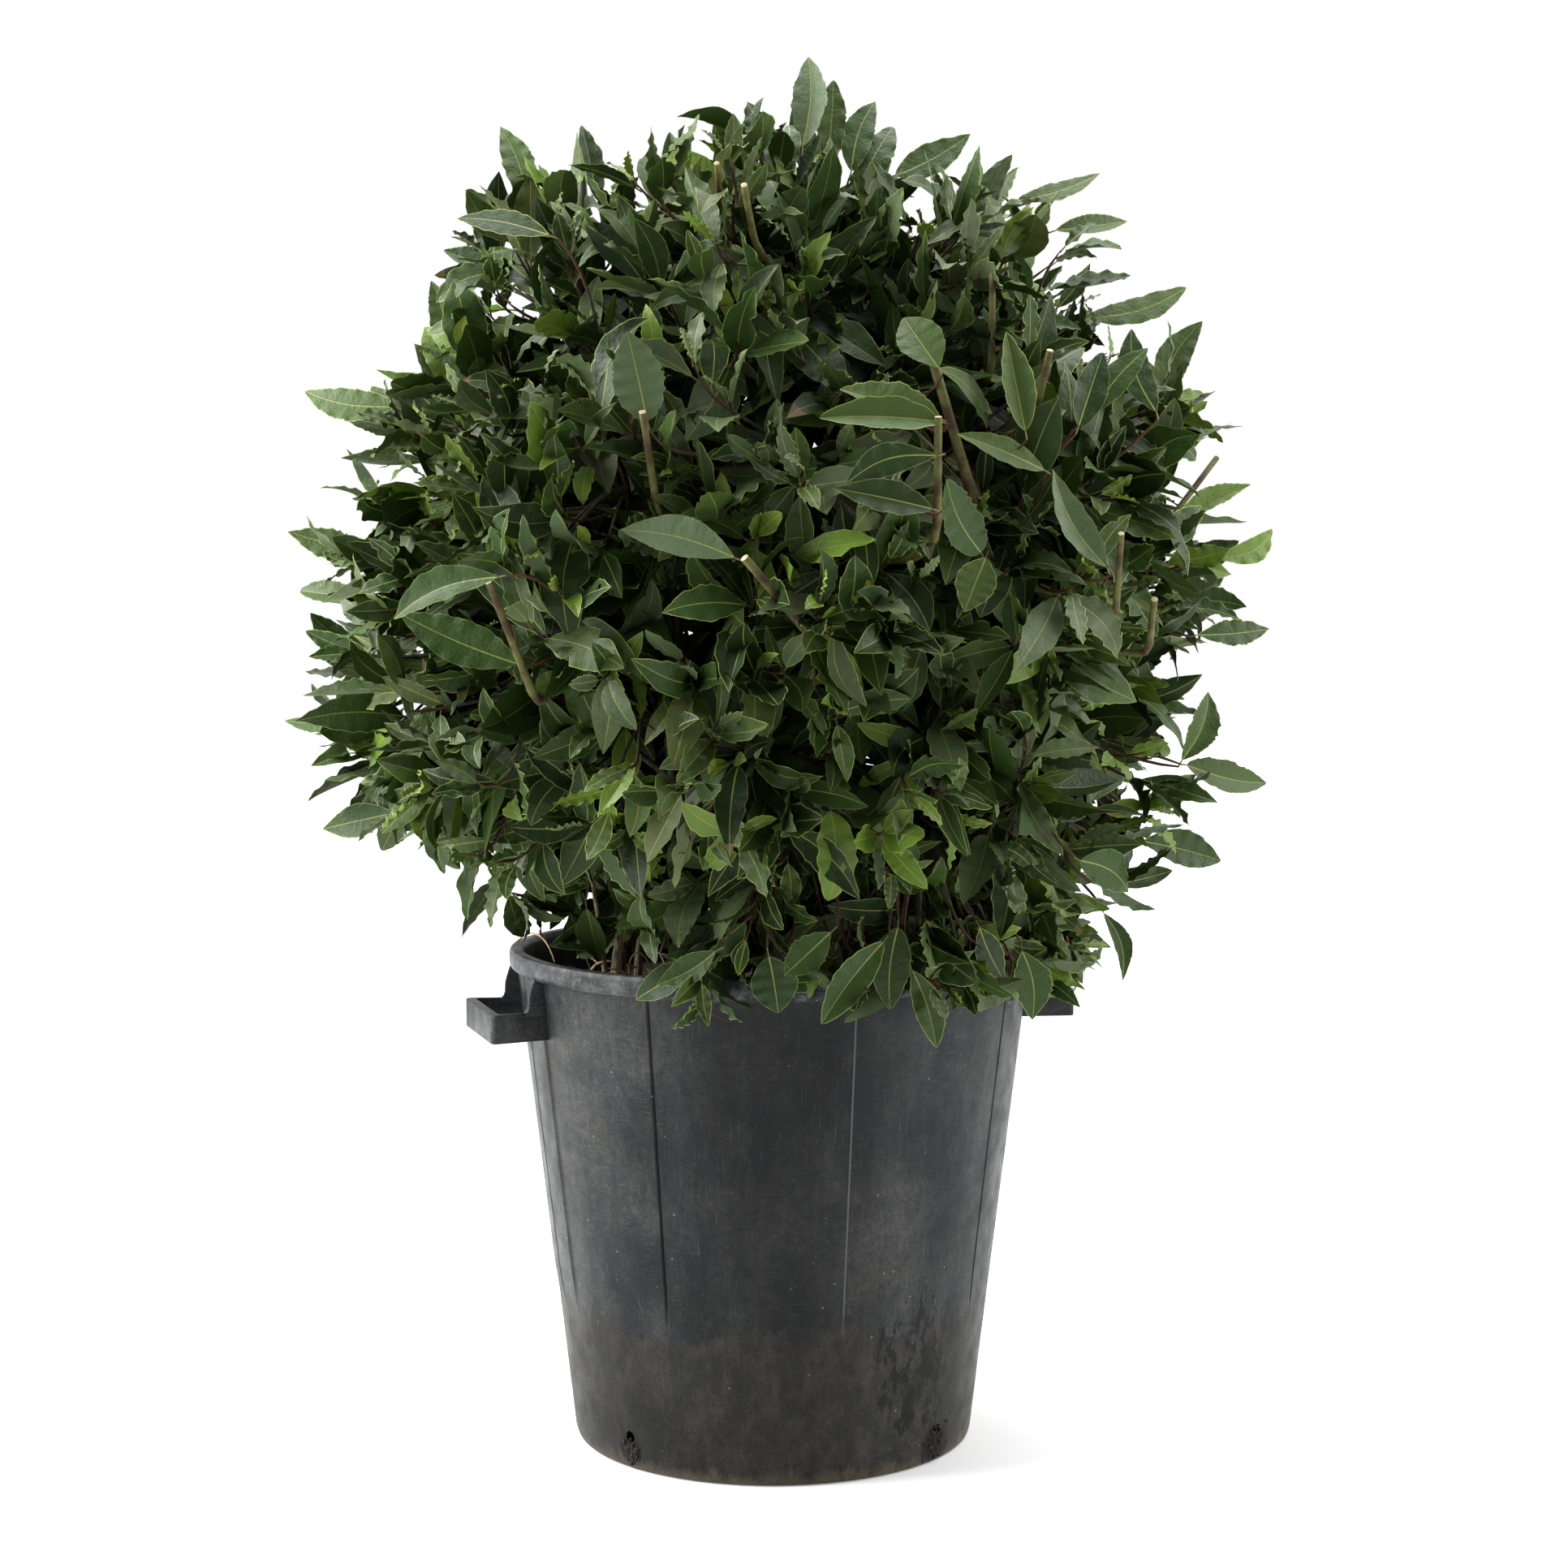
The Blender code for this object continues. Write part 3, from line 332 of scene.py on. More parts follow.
# A leaf's damage, drawn from 0 to 1, says what it shows
BROWNED = 0.03  # under this its tip is brown, from this share of its length:
BROWN_FROM = 0.86
DULL = 0.40  # under this its margin is dull
UNHURT = (0.35, 0.43)  # between these it shows nothing else
DUSTED = 0.45  # over this it has dusty patches, where a wave is over this:
DUSTY_FROM = 0.35
HOLED = 0.70  # near this it has a hole in each half
HOLED_HALF = 0.03
BITTEN = 0.88  # over this it has a bite out of each edge, of this half length and depth:
BITE_HALF = 0.05
BITE_LEFT = (0.45, 0.80)


# Materials

Tone = namedtuple("Tone", "name colour roughness specular")
TONES = (
    Tone("leaf_margin", (0.185, 0.240, 0.050), 0.50, 0.22),
    Tone("leaf_dull_margin", (0.085, 0.115, 0.028), 0.50, 0.20),
    Tone("leaf_rib", (0.150, 0.170, 0.036), 0.50, 0.22),
    Tone("leaf_browned", (0.090, 0.064, 0.026), 0.60, 0.20),
    Tone("leaf_deep", (0.0085, 0.0185, 0.0040), 0.45, 0.14),
    Tone("leaf_dark", (0.0135, 0.0290, 0.0062), 0.45, 0.15),
    Tone("leaf_green", (0.0215, 0.0450, 0.0080), 0.45, 0.17),
    Tone("leaf_mid", (0.0370, 0.0650, 0.0130), 0.48, 0.18),
    Tone("leaf_blue", (0.0470, 0.0740, 0.0280), 0.50, 0.24),
    Tone("leaf_grey", (0.0540, 0.0720, 0.0290), 0.55, 0.22),
    Tone("leaf_olive", (0.0500, 0.0640, 0.0160), 0.50, 0.20),
    Tone("leaf_pale", (0.0680, 0.1030, 0.0420), 0.60, 0.25),
    Tone("leaf_fresh", (0.0720, 0.1250, 0.0130), 0.42, 0.20),
    Tone("leaf_young", (0.1500, 0.2050, 0.0200), 0.38, 0.22),
)
TONE = {tone.name[5:]: number for number, tone in enumerate(TONES)}
PALER = {"deep": "dark", "dark": "green", "mid": "blue", "blue": "grey", "olive": "mid"}
DUSTY = [TONE[PALER.get(name, name)] for name in TONE]  # the tone of a leaf's dusty patches


def material(name, colour, roughness, specular=0.5):
    made = bpy.data.materials.new(name)
    made.use_nodes = True
    shader = made.node_tree.nodes["Principled BSDF"]
    shader.inputs["Base Color"].default_value = (*colour, 1.0)
    shader.inputs["Roughness"].default_value = roughness
    shader.inputs["Specular IOR Level"].default_value = specular
    return made


def node(made, kind, inputs=None, **settings):
    """A new node with its settings, and its inputs set or linked."""
    new = made.node_tree.nodes.new("ShaderNode" + kind)
    for key, value in settings.items():
        setattr(new, key, value)
    for key, value in (inputs or {}).items():
        if isinstance(value, bpy.types.NodeSocket):
            made.node_tree.links.new(value, new.inputs[key])
        else:
            new.inputs[key].default_value = value
    return new


def coordinates(made, along=1.0):
    """Places on the object; what is drawn there runs along Z where the scale is under 1."""
    place = node(made, "TexCoord").outputs["Object"]
    if along == 1.0:
        return place
    return node(made, "Mapping", {"Vector": place, "Scale": (1.0, 1.0, along)}).outputs["Vector"]


def noise(made, size, detail=4.0, rough=0.55, along=1.0):
    """Noise with lumps about that size across, in metres."""
    where = coordinates(made, along)
    inputs = {"Vector": where, "Scale": 1.0 / size, "Detail": detail, "Roughness": rough}
    return node(made, "TexNoise", inputs).outputs["Fac"]


def ramp(made, value, low, high, to_low=0.0, to_high=1.0):
    inputs = {
        "Value": value, "From Min": low, "From Max": high, "To Min": to_low, "To Max": to_high
    }
    return node(made, "MapRange", inputs, clamp=True).outputs["Result"]


def math_of(made, operation, *values):
    return node(made, "Math", dict(enumerate(values)), operation=operation).outputs[0]


def times(made, one, two):
    return math_of(made, "MULTIPLY", one, two)


def mixed(made, share, first, second):
    """Colour first towards colour second by a share."""
    first, second = ((*one, 1.0) if isinstance(one, tuple) else one for one in (first, second))
    return node(made, "Mix", {0: share, 6: first, 7: second}, data_type="RGBA").outputs[2]


def brighter(made, colour, value):
    return node(made, "HueSaturation", {"Value": value, "Color": colour}).outputs["Color"]


def use(made, socket, value):
    shader = made.node_tree.nodes["Principled BSDF"]
    made.node_tree.links.new(value, shader.inputs[socket])


def bump(made, height, distance, strength=1.0):
    inputs = {"Height": height, "Distance": distance, "Strength": strength}
    use(made, "Normal", node(made, "Bump", inputs).outputs["Normal"])


# Patches that noise makes: their size in metres, its detail and roughness, their scale along Z,
# the noise values between which their share turns from least to most, and their colour
Patches = namedtuple("Patches", "size detail rough along low high least most colour", defaults=(None,))


def patches(made, kind):
    value = noise(made, kind.size, kind.detail, kind.rough, kind.along)
    return ramp(made, value, kind.low, kind.high, kind.least, kind.most)


def leaf_material(tone):
    made = material(tone.name, tone.colour, tone.roughness, tone.specular)
    bump(made, noise(made, 0.005, 4.0), 0.0010)
    return made


# Bark, with sizes as shares of a bark's own size
BARK_PATCHES = Patches(2.5, 5.0, 0.60, 0.35, 0.38, 0.62, 0.0, 1.0)
BARK_CRACKS = Patches(0.35, 5.0, 0.70, 0.25, 0.35, 0.55, 0.0, 1.0)
CRACK_SHADE = 0.35
SHOOT_PATCHES = Patches(0.02, 4.0, 0.55, 1.0, 0.42, 0.60, 0.0, 1.0, (0.040, 0.024, 0.010))


def bark_material(name, young, old, size=0.012):
    """Bark that turns from one colour to another in patches along the limb, with painted shade in its
    cracks.
    """
    made = material(name, young, 0.8, 0.3)
    turned, cracks = (
        patches(made, kind._replace(size=size * kind.size)) for kind in (BARK_PATCHES, BARK_CRACKS)
    )
    # painted shade: the cracks darker than the bark round them
    dark = tuple(part * CRACK_SHADE for part in old)
    use(made, "Base Color", mixed(made, cracks, dark, mixed(made, turned, young, old)))
    bump(made, cracks, 0.0012)
    return made


def cut_shoot_material():
    """Smooth olive bark with brown patches."""
    made = material("cut_shoot", (0.060, 0.064, 0.018), 0.6, 0.15)
    olive = (0.078, 0.080, 0.022)
    use(made, "Base Color", mixed(made, patches(made, SHOOT_PATCHES), olive, SHOOT_PATCHES.colour))
    bump(made, noise(made, 0.002, 4.0), 0.0006)
    return made


# The tub's colours and wear, with painted shade and painted highlights
CLEAN_PLASTIC = (0.0085, 0.0098, 0.0115)
DUST = Patches(0.14, 10.0, 0.78, 0.80, 0.44, 0.64, 0.0, 0.72, (0.0330, 0.0340, 0.0325))
GRAINS = Patches(0.009, 9.0, 0.85, 1.0, 0.48, 0.66, 0.0, 0.60, (0.0850, 0.0830, 0.0700))
EARTH = Patches(0.13, 10.0, 0.80, 1.0, 0.56, 0.68, 0.0, 0.50, (0.0460, 0.0430, 0.0300))
SMEARS = Patches(0.045, 6.0, 0.60, 0.14, 0.52, 0.74, 0.0, 0.40, (0.0400, 0.0440, 0.0460))
SCUFFED = Patches(0.09, 2.0, 0.55, 1.0, 0.48, 0.60, 0.0, 1.0, (0.1000, 0.1020, 0.0940))
LEVEL_SCRATCH = (0.0900, 0.0880, 0.0760)
DOWN_THE_WALL = (1.0, 1.0, 0.035)  # scales that draw scratches out
ROUND_THE_WALL = (0.05, 1.0, 1.0)
GRIT = Patches(0.0034, 7.0, 0.85, 1.0, 0.36, 0.64, 0.60, 1.46)
STREAKS = Patches(0.007, 5.0, 0.70, 0.05, 0.36, 0.64, 0.86, 1.16)
CLOUDS = Patches(0.15, 4.0, 0.60, 1.0, 0.38, 0.62, 0.76, 1.22)
# Painted shade round the middle of the side facing the camera: where it lies, its ragged edge, and how much
# darker it is
FRONT_SHADE_TURN = VIEW_TURN - math.radians(88.0)
FRONT_SHADE_EDGE = Patches(0.08, 4.0, 0.60, 1.0, 0.30, 0.70, -0.14, 0.14)
FRONT_SHADE = (0.16, 0.60, 0.43, 0.98)  # from so far round to so far, brighter from so much to so much
FOOT_EDGE = Patches(0.11, 10.0, 0.80, 0.50, 0.30, 0.70, -0.030, 0.030)
FOOT_ZONE = (0.150, 0.156, 0.86, 0.0)  # between these heights the foot's share ends
FOOT_DARK = (0.0085, 0.0083, 0.0068)
GRIME = Patches(0.030, 10.0, 0.80, 0.60, 0.44, 0.66, 0.0, 1.0, (0.0290, 0.0272, 0.0205))
SPLASHES = Patches(0.022, 6.0, 0.70, 0.35, 0.30, 0.70, -0.010, 0.010, (0.0720, 0.0580, 0.0360))
SPLASH_ZONE = (0.004, 0.016, 0.75, 0.0)
CLOD_EDGE = Patches(0.022, 6.0, 0.70, 0.35, 0.30, 0.70, -0.009, 0.009, (0.0030, 0.0015, 0.0008))
CLOD_RADII = (0.013, 0.018)
STAIN_EDGE = Patches(0.020, 8.0, 0.80, 0.35, 0.30, 0.70, -0.035, 0.035)
STAIN_RADII = (0.064, 0.068)
STAINS = Patches(0.020, 8.0, 0.78, 0.45, 0.49, 0.51, 0.0, 0.95, (0.0022, 0.0022, 0.0020))
# The rim's lighter colour: its wear, and partly a painted highlight
RIM_WEAR_AND_HIGHLIGHT = Patches(0.016, 7.0, 0.80, 1.0, 0.46, 0.62, 0.0, 1.0, (0.0850, 0.0920, 0.0950))
RIM_WEAR_AND_HIGHLIGHT_ZONE = (0.489, 0.4925, 0.0, 0.8)  # the rim, from its underside up
# Painted shade in the grooves, and a painted highlight along the ribs
GROOVE_SHADE = (0.0042, 0.0042, 0.0040)
RIB_HIGHLIGHT = (0.0700, 0.0740, 0.0760)
SEAM_SHOWN = 0.85
SPECK = (0.1500, 0.1450, 0.1200)
SPECKS_A_METRE = 95.0
SPECKS_CHOSEN = (0.90, 0.92)
SHEEN = Patches(0.03, 5.0, 0.60, 1.0, 0.35, 0.70, 0.36, 0.56)
WET_SHEEN = 0.12


def tub_material():
    """Weathered black plastic: dusty, scuffed down its length, darker and stained at the foot, with painted
    shade round the front's middle and in the grooves, and painted highlights on the ribs and rim.
    """
    made = material("tub_plastic", (0.010, 0.0105, 0.011), 0.45, 0.15)
    place = coordinates(made)
    parts = node(made, "SeparateXYZ", {"Vector": place}).outputs
    height = parts["Z"]
    turn = math_of(made, "ARCTAN2", parts["Y"], parts["X"])
    colour, scuffs = tub_dust(made, turn, height)
    colour = tub_wear(made, tub_foot(made, front_painted_shade(made, colour, turn), height))
    colour = tub_seams(made, colour, turn, height)
    colour = mixed(made, specks(made, place), colour, SPECK)
    # the rim lighter by its wear and partly by a painted highlight
    rim = times(made, patches(made, RIM_WEAR_AND_HIGHLIGHT), ramp(made, height, *RIM_WEAR_AND_HIGHLIGHT_ZONE))
    colour = mixed(made, rim, colour, RIM_WEAR_AND_HIGHLIGHT.colour)
    wet = wet_stains(made, place)
    colour = mixed(made, wet, colour, STAINS.colour)
    edge = patches(made, CLOD_EDGE)
    for degrees, size in zip(DRAIN_TURNS, CLOD_SIZES):
        apart = distance(made, place, CLOD_HEIGHT, math.radians(degrees), edge)
        clod = ramp(made, apart, CLOD_RADII[0] * size, CLOD_RADII[1] * size, 0.95, 0.0)
        colour = mixed(made, clod, colour, CLOD_EDGE.colour)
    use(made, "Base Color", colour)
    use(made, "Roughness", math_of(made, "SUBTRACT", patches(made, SHEEN), times(made, wet, WET_SHEEN)))
    grain = times(made, noise(made, 0.0016, 4.0, 0.6), 0.25)
    bump(made, math_of(made, "ADD", grain, scuffs), 0.0006, 0.6)
    return made


def front_painted_shade(made, colour, turn):
    """Painted shade: the colour darker round the middle of the side that faces the camera, lighter towards
    its sides.
    """
    apart = math_of(made, "ABSOLUTE", math_of(made, "SUBTRACT", turn, FRONT_SHADE_TURN))
    edge = math_of(made, "ADD", apart, patches(made, FRONT_SHADE_EDGE))
    return brighter(made, colour, ramp(made, edge, *FRONT_SHADE))


def tub_dust(made, turn, height):
    """The tub's colour with dust in clouds and fine grains, long smears, and thin scratches."""
    dust = patches(made, DUST)
    colour = mixed(made, dust, CLEAN_PLASTIC, DUST.colour)
    colour = mixed(made, times(made, patches(made, GRAINS), dust), colour, GRAINS.colour)
    for kind in (EARTH, SMEARS):
        colour = mixed(made, patches(made, kind), colour, kind.colour)
    scuffed = patches(made, SCUFFED)
    wrapped = node(made, "CombineXYZ", {"X": times(made, turn, POT_FOOT_RADIUS), "Z": height})
    scuffs = times(made, scratches(made, wrapped, DOWN_THE_WALL), scuffed)
    colour = mixed(made, scuffs, colour, SCUFFED.colour)
    level = math_of(made, "SUBTRACT", 1.0, scuffed)
    level = times(made, scratches(made, wrapped, ROUND_THE_WALL), level)
    return mixed(made, level, colour, LEVEL_SCRATCH), scuffs


def scratches(made, wrapped, stretch):
    where = node(made, "Mapping", {"Vector": wrapped.outputs["Vector"], "Scale": stretch})
    inputs = {"Vector": where.outputs["Vector"], "Scale": 900.0, "Detail": 3.0, "Roughness": 0.7}
    lines = node(made, "TexNoise", inputs).outputs["Fac"]
    return ramp(made, lines, 0.58, 0.72, 0.0, 0.55)


def tub_wear(made, colour):
    """The colour made lighter and darker by grit, streaks and clouds."""
    grit, streaks, clouds = (patches(made, kind) for kind in (GRIT, STREAKS, CLOUDS))
    return brighter(made, colour, times(made, times(made, grit, streaks), clouds))


def tub_foot(made, colour, height):
    """A darker, dirtier zone under a ragged edge, and earth along the rounded foot."""
    edge = math_of(made, "ADD", height, patches(made, FOOT_EDGE))
    dirt = mixed(made, patches(made, GRIME), FOOT_DARK, GRIME.colour)
    colour = mixed(made, ramp(made, edge, *FOOT_ZONE), colour, dirt)
    foot = math_of(made, "ADD", height, patches(made, SPLASHES))
    return mixed(made, ramp(made, foot, *SPLASH_ZONE), colour, SPLASHES.colour)


def tub_seams(made, colour, turn, height):
    """Painted shade in the moulded grooves, and a painted highlight along the two ribs."""
    degrees = times(made, turn, 180.0 / math.pi)
    shown = ramp(made, height, *SEAM_FOOT, 0.0, SEAM_SHOWN)
    from_seam = math_of(made, "PINGPONG", degrees, SEAM_STEP / 2)
    from_rib = math_of(made, "PINGPONG", math_of(made, "SUBTRACT", degrees, 90.0), 90.0)
    # painted shade: the grooves darker
    groove = times(made, ramp(made, from_seam, 0.20, 0.40, 1.0, 0.0), ramp(made, from_rib, 5.0, 6.0))
    colour = mixed(made, times(made, groove, shown), colour, GROOVE_SHADE)
    # painted highlight: a light line along each rib
    rib = times(made, ramp(made, from_rib, 0.12, 0.26, 1.0, 0.0), shown)
    return mixed(made, rib, colour, RIB_HIGHLIGHT)


def specks(made, place):
    cells = node(made, "TexVoronoi", {"Vector": place, "Scale": SPECKS_A_METRE}, feature="F1").outputs
    near = ramp(made, cells["Distance"], 0.06, 0.11, 1.0, 0.0)
    drawn = node(made, "SeparateColor", {"Color": cells["Color"]}).outputs["Red"]
    return times(made, near, ramp(made, drawn, *SPECKS_CHOSEN))


def distance(made, place, height, turn, edge):
    """How far from a spot on the wall, with a ragged edge."""
    spot = tuple(polar(wall_radius(height), turn, height))
    apart = node(made, "VectorMath", {0: place, 1: spot}, operation="DISTANCE").outputs["Value"]
    return math_of(made, "ADD", apart, edge)


def wet_stains(made, place):
    """Share of water marks, on the lower right of the wall as the photograph sees it."""
    apart = distance(made, place, STAIN_HEIGHT, VIEW_TURN + STAIN_TURN, patches(made, STAIN_EDGE))
    return times(made, ramp(made, apart, *STAIN_RADII, 1.0, 0.0), patches(made, STAINS))


SOIL_BITS = Patches(0.0035, 4.0, 0.60, 1.0, 0.62, 0.70, 0.0, 0.8, (0.220, 0.160, 0.090))


def soil_material():
    made = material("soil_surface", (0.030, 0.021, 0.014), 0.95, 0.2)
    lumps = noise(made, 0.012, 8.0, 0.7)
    colour = mixed(made, ramp(made, lumps, 0.40, 0.62), (0.018, 0.013, 0.009), (0.080, 0.055, 0.033))
    use(made, "Base Color", mixed(made, patches(made, SOIL_BITS), colour, SOIL_BITS.colour))
    bump(made, lumps, 0.006)
    return made


# Meshes from arrays

NO_FACE = -1  # in place of a material where a face is left out


class Pile:
    """Quads gathered from arrays and made into one joined mesh."""

    def __init__(self):
        self.points = []
        self.quads = []
        self.slots = []
        self.count = 0

    def add(self, points, quads, slots):
        slots = np.broadcast_to(slots, quads.shape[:-1]).reshape(-1)
        shown = slots != NO_FACE
        self.points.append(points.reshape(-1, 3))
        self.quads.append(quads.reshape(-1, 4)[shown] + self.count)
        self.slots.append(slots[shown])
        self.count += self.points[-1].shape[0]

    def sheets(self, points, slots):
        """Sheets of rows and columns: points (n, rows, columns, 3), slots (n, rows-1, columns-1)."""
        count, rows, columns, _ = points.shape
        corner = np.arange(rows - 1)[:, None] * columns + np.arange(columns - 1)[None, :]
        quads = np.stack([corner, corner + 1, corner + columns + 1, corner + columns], axis=-1)
        first = np.arange(count)[:, None, None, None] * rows * columns
        self.add(points, quads[None] + first, slots)

    def tubes(self, rings, slots):
        """Tubes of closed rings: rings (n, rings, sides, 3), slots as above or one for all."""
        count, rows, sides, _ = rings.shape
        row = np.arange(rows - 1)[:, None] * sides
        near = np.arange(sides)[None, :]
        after = (near + 1) % sides
        quads = np.stack([row + near, row + after, row + sides + after, row + sides + near], -1)
        first = np.arange(count)[:, None, None, None] * rows * sides
        self.add(rings, quads[None] + first, slots)

    def make(self, name, materials, replaced, slot_name):
        """The joined mesh as a piece that rides on the body and stands for CAD nodes."""
        points = np.concatenate(self.points)
        quads = np.concatenate(self.quads)
        mesh = bpy.data.meshes.new(name)
        mesh.vertices.add(len(points))
        mesh.vertices.foreach_set("co", points.astype(np.float32).ravel())
        mesh.loops.add(quads.size)
        mesh.loops.foreach_set("vertex_index", quads.astype(np.int32).ravel())
        mesh.polygons.add(len(quads))
        mesh.polygons.foreach_set("loop_start", np.arange(0, quads.size, 4, dtype=np.int32))
        slots = np.concatenate(self.slots).astype(np.int32)
        used = np.unique(slots)
        mesh.polygons.foreach_set("material_index", np.searchsorted(used, slots).astype(np.int32))
        for number in used:
            mesh.materials.append(materials[number])
        mesh.update(calc_edges=True)
        mesh.validate()
        mesh.shade_smooth()
        made = bpy.data.objects.new(name, mesh)
        return dress(made, replaced)


def dress(made, replaced):
    if not made.users_collection:
        bpy.context.scene.collection.objects.link(made)
    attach(made, BODY)
    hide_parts(*replaced)
    return made


def unit(rows):
    return rows / np.maximum(np.linalg.norm(rows, axis=-1, keepdims=True), 1e-9)


def dots(one, two):
    return np.sum(one * two, axis=-1, keepdims=True)


def curve_controls(start, start_way, end, end_way, pull=BEND_PULL):
    span = np.linalg.norm(end - start, axis=-1, keepdims=True) * pull
    return np.stack([start, start + start_way * span, end - end_way * span, end], axis=1)


def on_curve(controls, t):
    """Points and directions on cubic bends: controls (n, 4, 3), t (n, k) or (k,)."""
    t = np.broadcast_to(t, (len(controls), np.shape(t)[-1]))[..., None]
    s = 1.0 - t
    a, b, c, d = (controls[:, i, None, :] for i in range(4))
    place = a * s**3 + b * (3 * s * s * t) + c * (3 * s * t * t) + d * t**3
    way = (b - a) * (s * s) + (c - b) * (2 * s * t) + (d - c) * (t * t)
    return place, unit(way)


def ring_points(points, ways, radii, sides):
    """Rings square to paths: points and ways (n, k, 3), radii (n, k)."""
    whole = unit(points[:, -1] - points[:, 0])
    side = np.where(np.abs(whole[:, 2:]) < 0.8, SKY, ALONG_X)
    first = unit(np.cross(ways, side[:, None, :]))
    second = np.cross(ways, first)
    turn = 2 * math.pi * np.arange(sides) / sides
    spokes = first[:, :, None, :] * np.cos(turn)[:, None] + second[:, :, None, :] * np.sin(turn)[:, None]
    return points[:, :, None, :] + spokes * radii[:, :, None, None]


# Crown: outline and masses


def reach(points):
    """How far the crown reaches from the axis at each point's turn and height."""
    turn = np.arctan2(points[..., 1], points[..., 0])
    share = 0.5 + 0.5 * np.cos(turn - VIEW_TURN)
    right = np.interp(points[..., 2], HEIGHTS, RIGHTS)
    left = np.interp(points[..., 2], HEIGHTS, LEFTS)
    depth = 1.0 - (1.0 - CROWN_DEPTH) * np.sin(turn - VIEW_TURN) ** 2
    return (share * right + (1.0 - share) * left) * depth


def crown_bottom(points):
    """How low the crown reaches at each point's turn."""
    turn = np.arctan2(points[..., 1], points[..., 0])
    apart = np.abs((turn - BARE_TURN + math.pi) % (2 * math.pi) - math.pi)
    share = np.clip(2.0 - 2.0 * apart / BARE_HALF_TURN, 0.0, 1.0)
    return CROWN_BOTTOM + BARE_RISE * share


def within_outline(points, slack=0.0):
    radius = np.hypot(points[..., 0], points[..., 1])
    return (radius < reach(points) + slack) & (points[..., 2] > crown_bottom(points) - slack)


def hollows(ways):
    """How deep each direction lies between the crown's clumps, from 0 to 1."""
    waves = sum(np.sin(ways @ np.array(row[:3]) + row[3]) for row in CLUMP_WAVES)
    return np.clip(0.5 - waves / 3.0, 0.0, 1.0)


def on_outline(ways):
    """Where rays from the crown's middle leave its outline."""
    near = np.zeros(len(ways))
    far = np.full(len(ways), CROWN_SPAN)
    for _ in range(HALVINGS):
        middle = (near + far) / 2
        good = within_outline(CROWN_MIDDLE + ways * middle[:, None])
        near = np.where(good, middle, near)
        far = np.where(good, far, middle)
    return CROWN_MIDDLE + ways * near[:, None]


def from_picture(places, towards):
    """Points seen at places in the picture, so far from the axis's plane towards the viewer."""
    on_plane = places[..., :1] * VIEW_RIGHT + places[..., 1:] * SKY
    share = (CAMERA_DISTANCE - towards) / CAMERA_DISTANCE
    return CAMERA_PLACE + (on_plane - CAMERA_PLACE) * np.asarray(share)[..., None]


def placed(rows):
    """Points from places in the picture and metres towards the viewer."""
    rows = np.array(rows)
    return from_picture(rows[:, :2], rows[:, 2])


def to_picture(points):
    """Places in the picture and distances towards the viewer."""
    away = points - CAMERA_PLACE
    depth = away @ VIEW_AWAY
    scale = CAMERA_DISTANCE / depth
    places = np.stack([away @ VIEW_RIGHT * scale, CAMERA_HEIGHT + away[..., 2] * scale], axis=-1)
    return places, CAMERA_DISTANCE - depth


def depth_in(points):
    """How far points lie under the crown's surface, with its hollows, towards its middle."""
    from_middle = points.reshape(-1, 3) - CROWN_MIDDLE
    away = np.linalg.norm(from_middle, axis=1)
    ways = unit(from_middle)
    edge = np.linalg.norm(on_outline(ways) - CROWN_MIDDLE, axis=1) - HOLLOW * hollows(ways) ** 1.5
    return (edge - away).reshape(points.shape[:-1])


def in_clumps(points):
    return depth_in(points) > 0.0


def on_front(places, proud, inside=in_clumps, beside=None, slope=LEAF_SLOPE):
    """Points of the crown's front seen at places in the picture, that far out of its surface.

    Their depth stays near that of the points they are set beside, where these are given.
    """
    towards = np.linspace(*SOUGHT, SOUGHT_STEPS)
    good = inside(from_picture(places[:, None, :], towards[None, :]))
    found = np.where(good.any(axis=1), towards[good.argmax(axis=1)], 0.0) + proud
    if beside is not None:
        depth = to_picture(beside)[1]
        found = np.clip(found, depth - slope, depth + slope)
    return from_picture(places, found)


def over_rim(points):
    """Inside the upright cylinder that leaves hang down round the rim."""
    return np.hypot(points[..., 0], points[..., 1]) < RIM_RADIUS + RIM_HANG


def lattice(count):
    """Directions spread evenly from straight up down to the lowest shoot."""
    number = np.arange(count)
    rise = 1.0 - (number + 0.5) / count * (1.0 - math.sin(LOWEST_SHOOT))
    level = np.sqrt(1.0 - rise * rise)
    turn = number * GOLDEN_TURN
    return np.stack([level * np.cos(turn), level * np.sin(turn), rise], axis=-1)


def polar(radius, turn, height):
    return Vector((radius * math.cos(turn), radius * math.sin(turn), height))


def make_masses():
    masses = []
    for tier in TIERS:
        for number in range(tier.count):
            turn = math.radians(tier.turn) + 2 * math.pi * number / tier.count
            middle = polar(tier.radius, turn, tier.height)
            entry = polar(tier.inner, turn, tier.entry)
            hub = entry.lerp(middle, HUB_SHARE)
            way = (hub - entry).normalized()
            name = f"{tier.name}_{number + 1}"
            masses.append(Mass(name, tier, turn, middle, entry, way, hub))
    return masses


def owners(masses, points):
    middles = np.array([mass.middle for mass in masses])
    apart = np.linalg.norm(points[:, None, :] - middles[None], axis=2)
    return apart.argmin(axis=1)


# Limbs


def limb_points(start, start_way, end, end_way, steps):
    """A bend with a short straight piece before and after it."""
    rows = (start + start_way * LIMB_LEAD, start_way, end - end_way * LIMB_LEAD, end_way)
    controls = curve_controls(*(np.array(row)[None] for row in rows))
    path, _ = on_curve(controls, np.linspace(0.0, 1.0, steps + 1))
    return [start, *map(Vector, path[0]), end]


def limb(name, start, start_way, end, end_way, first, last, flare=1.0):
    """A limb's rough points, which others join, and its fine ones with their radii."""
    rough = limb_points(start, start_way, end, end_way, LIMB_STEPS)
    fine = limb_points(start, start_way, end, end_way, FINE_STEPS)
    radii = np.linspace(first, last, len(fine))
    swell = np.exp(-np.arange(len(fine)) / FLARE_STEPS)
    return Limb(name, rough, radii * (1.0 + (flare - 1.0) * swell)), fine


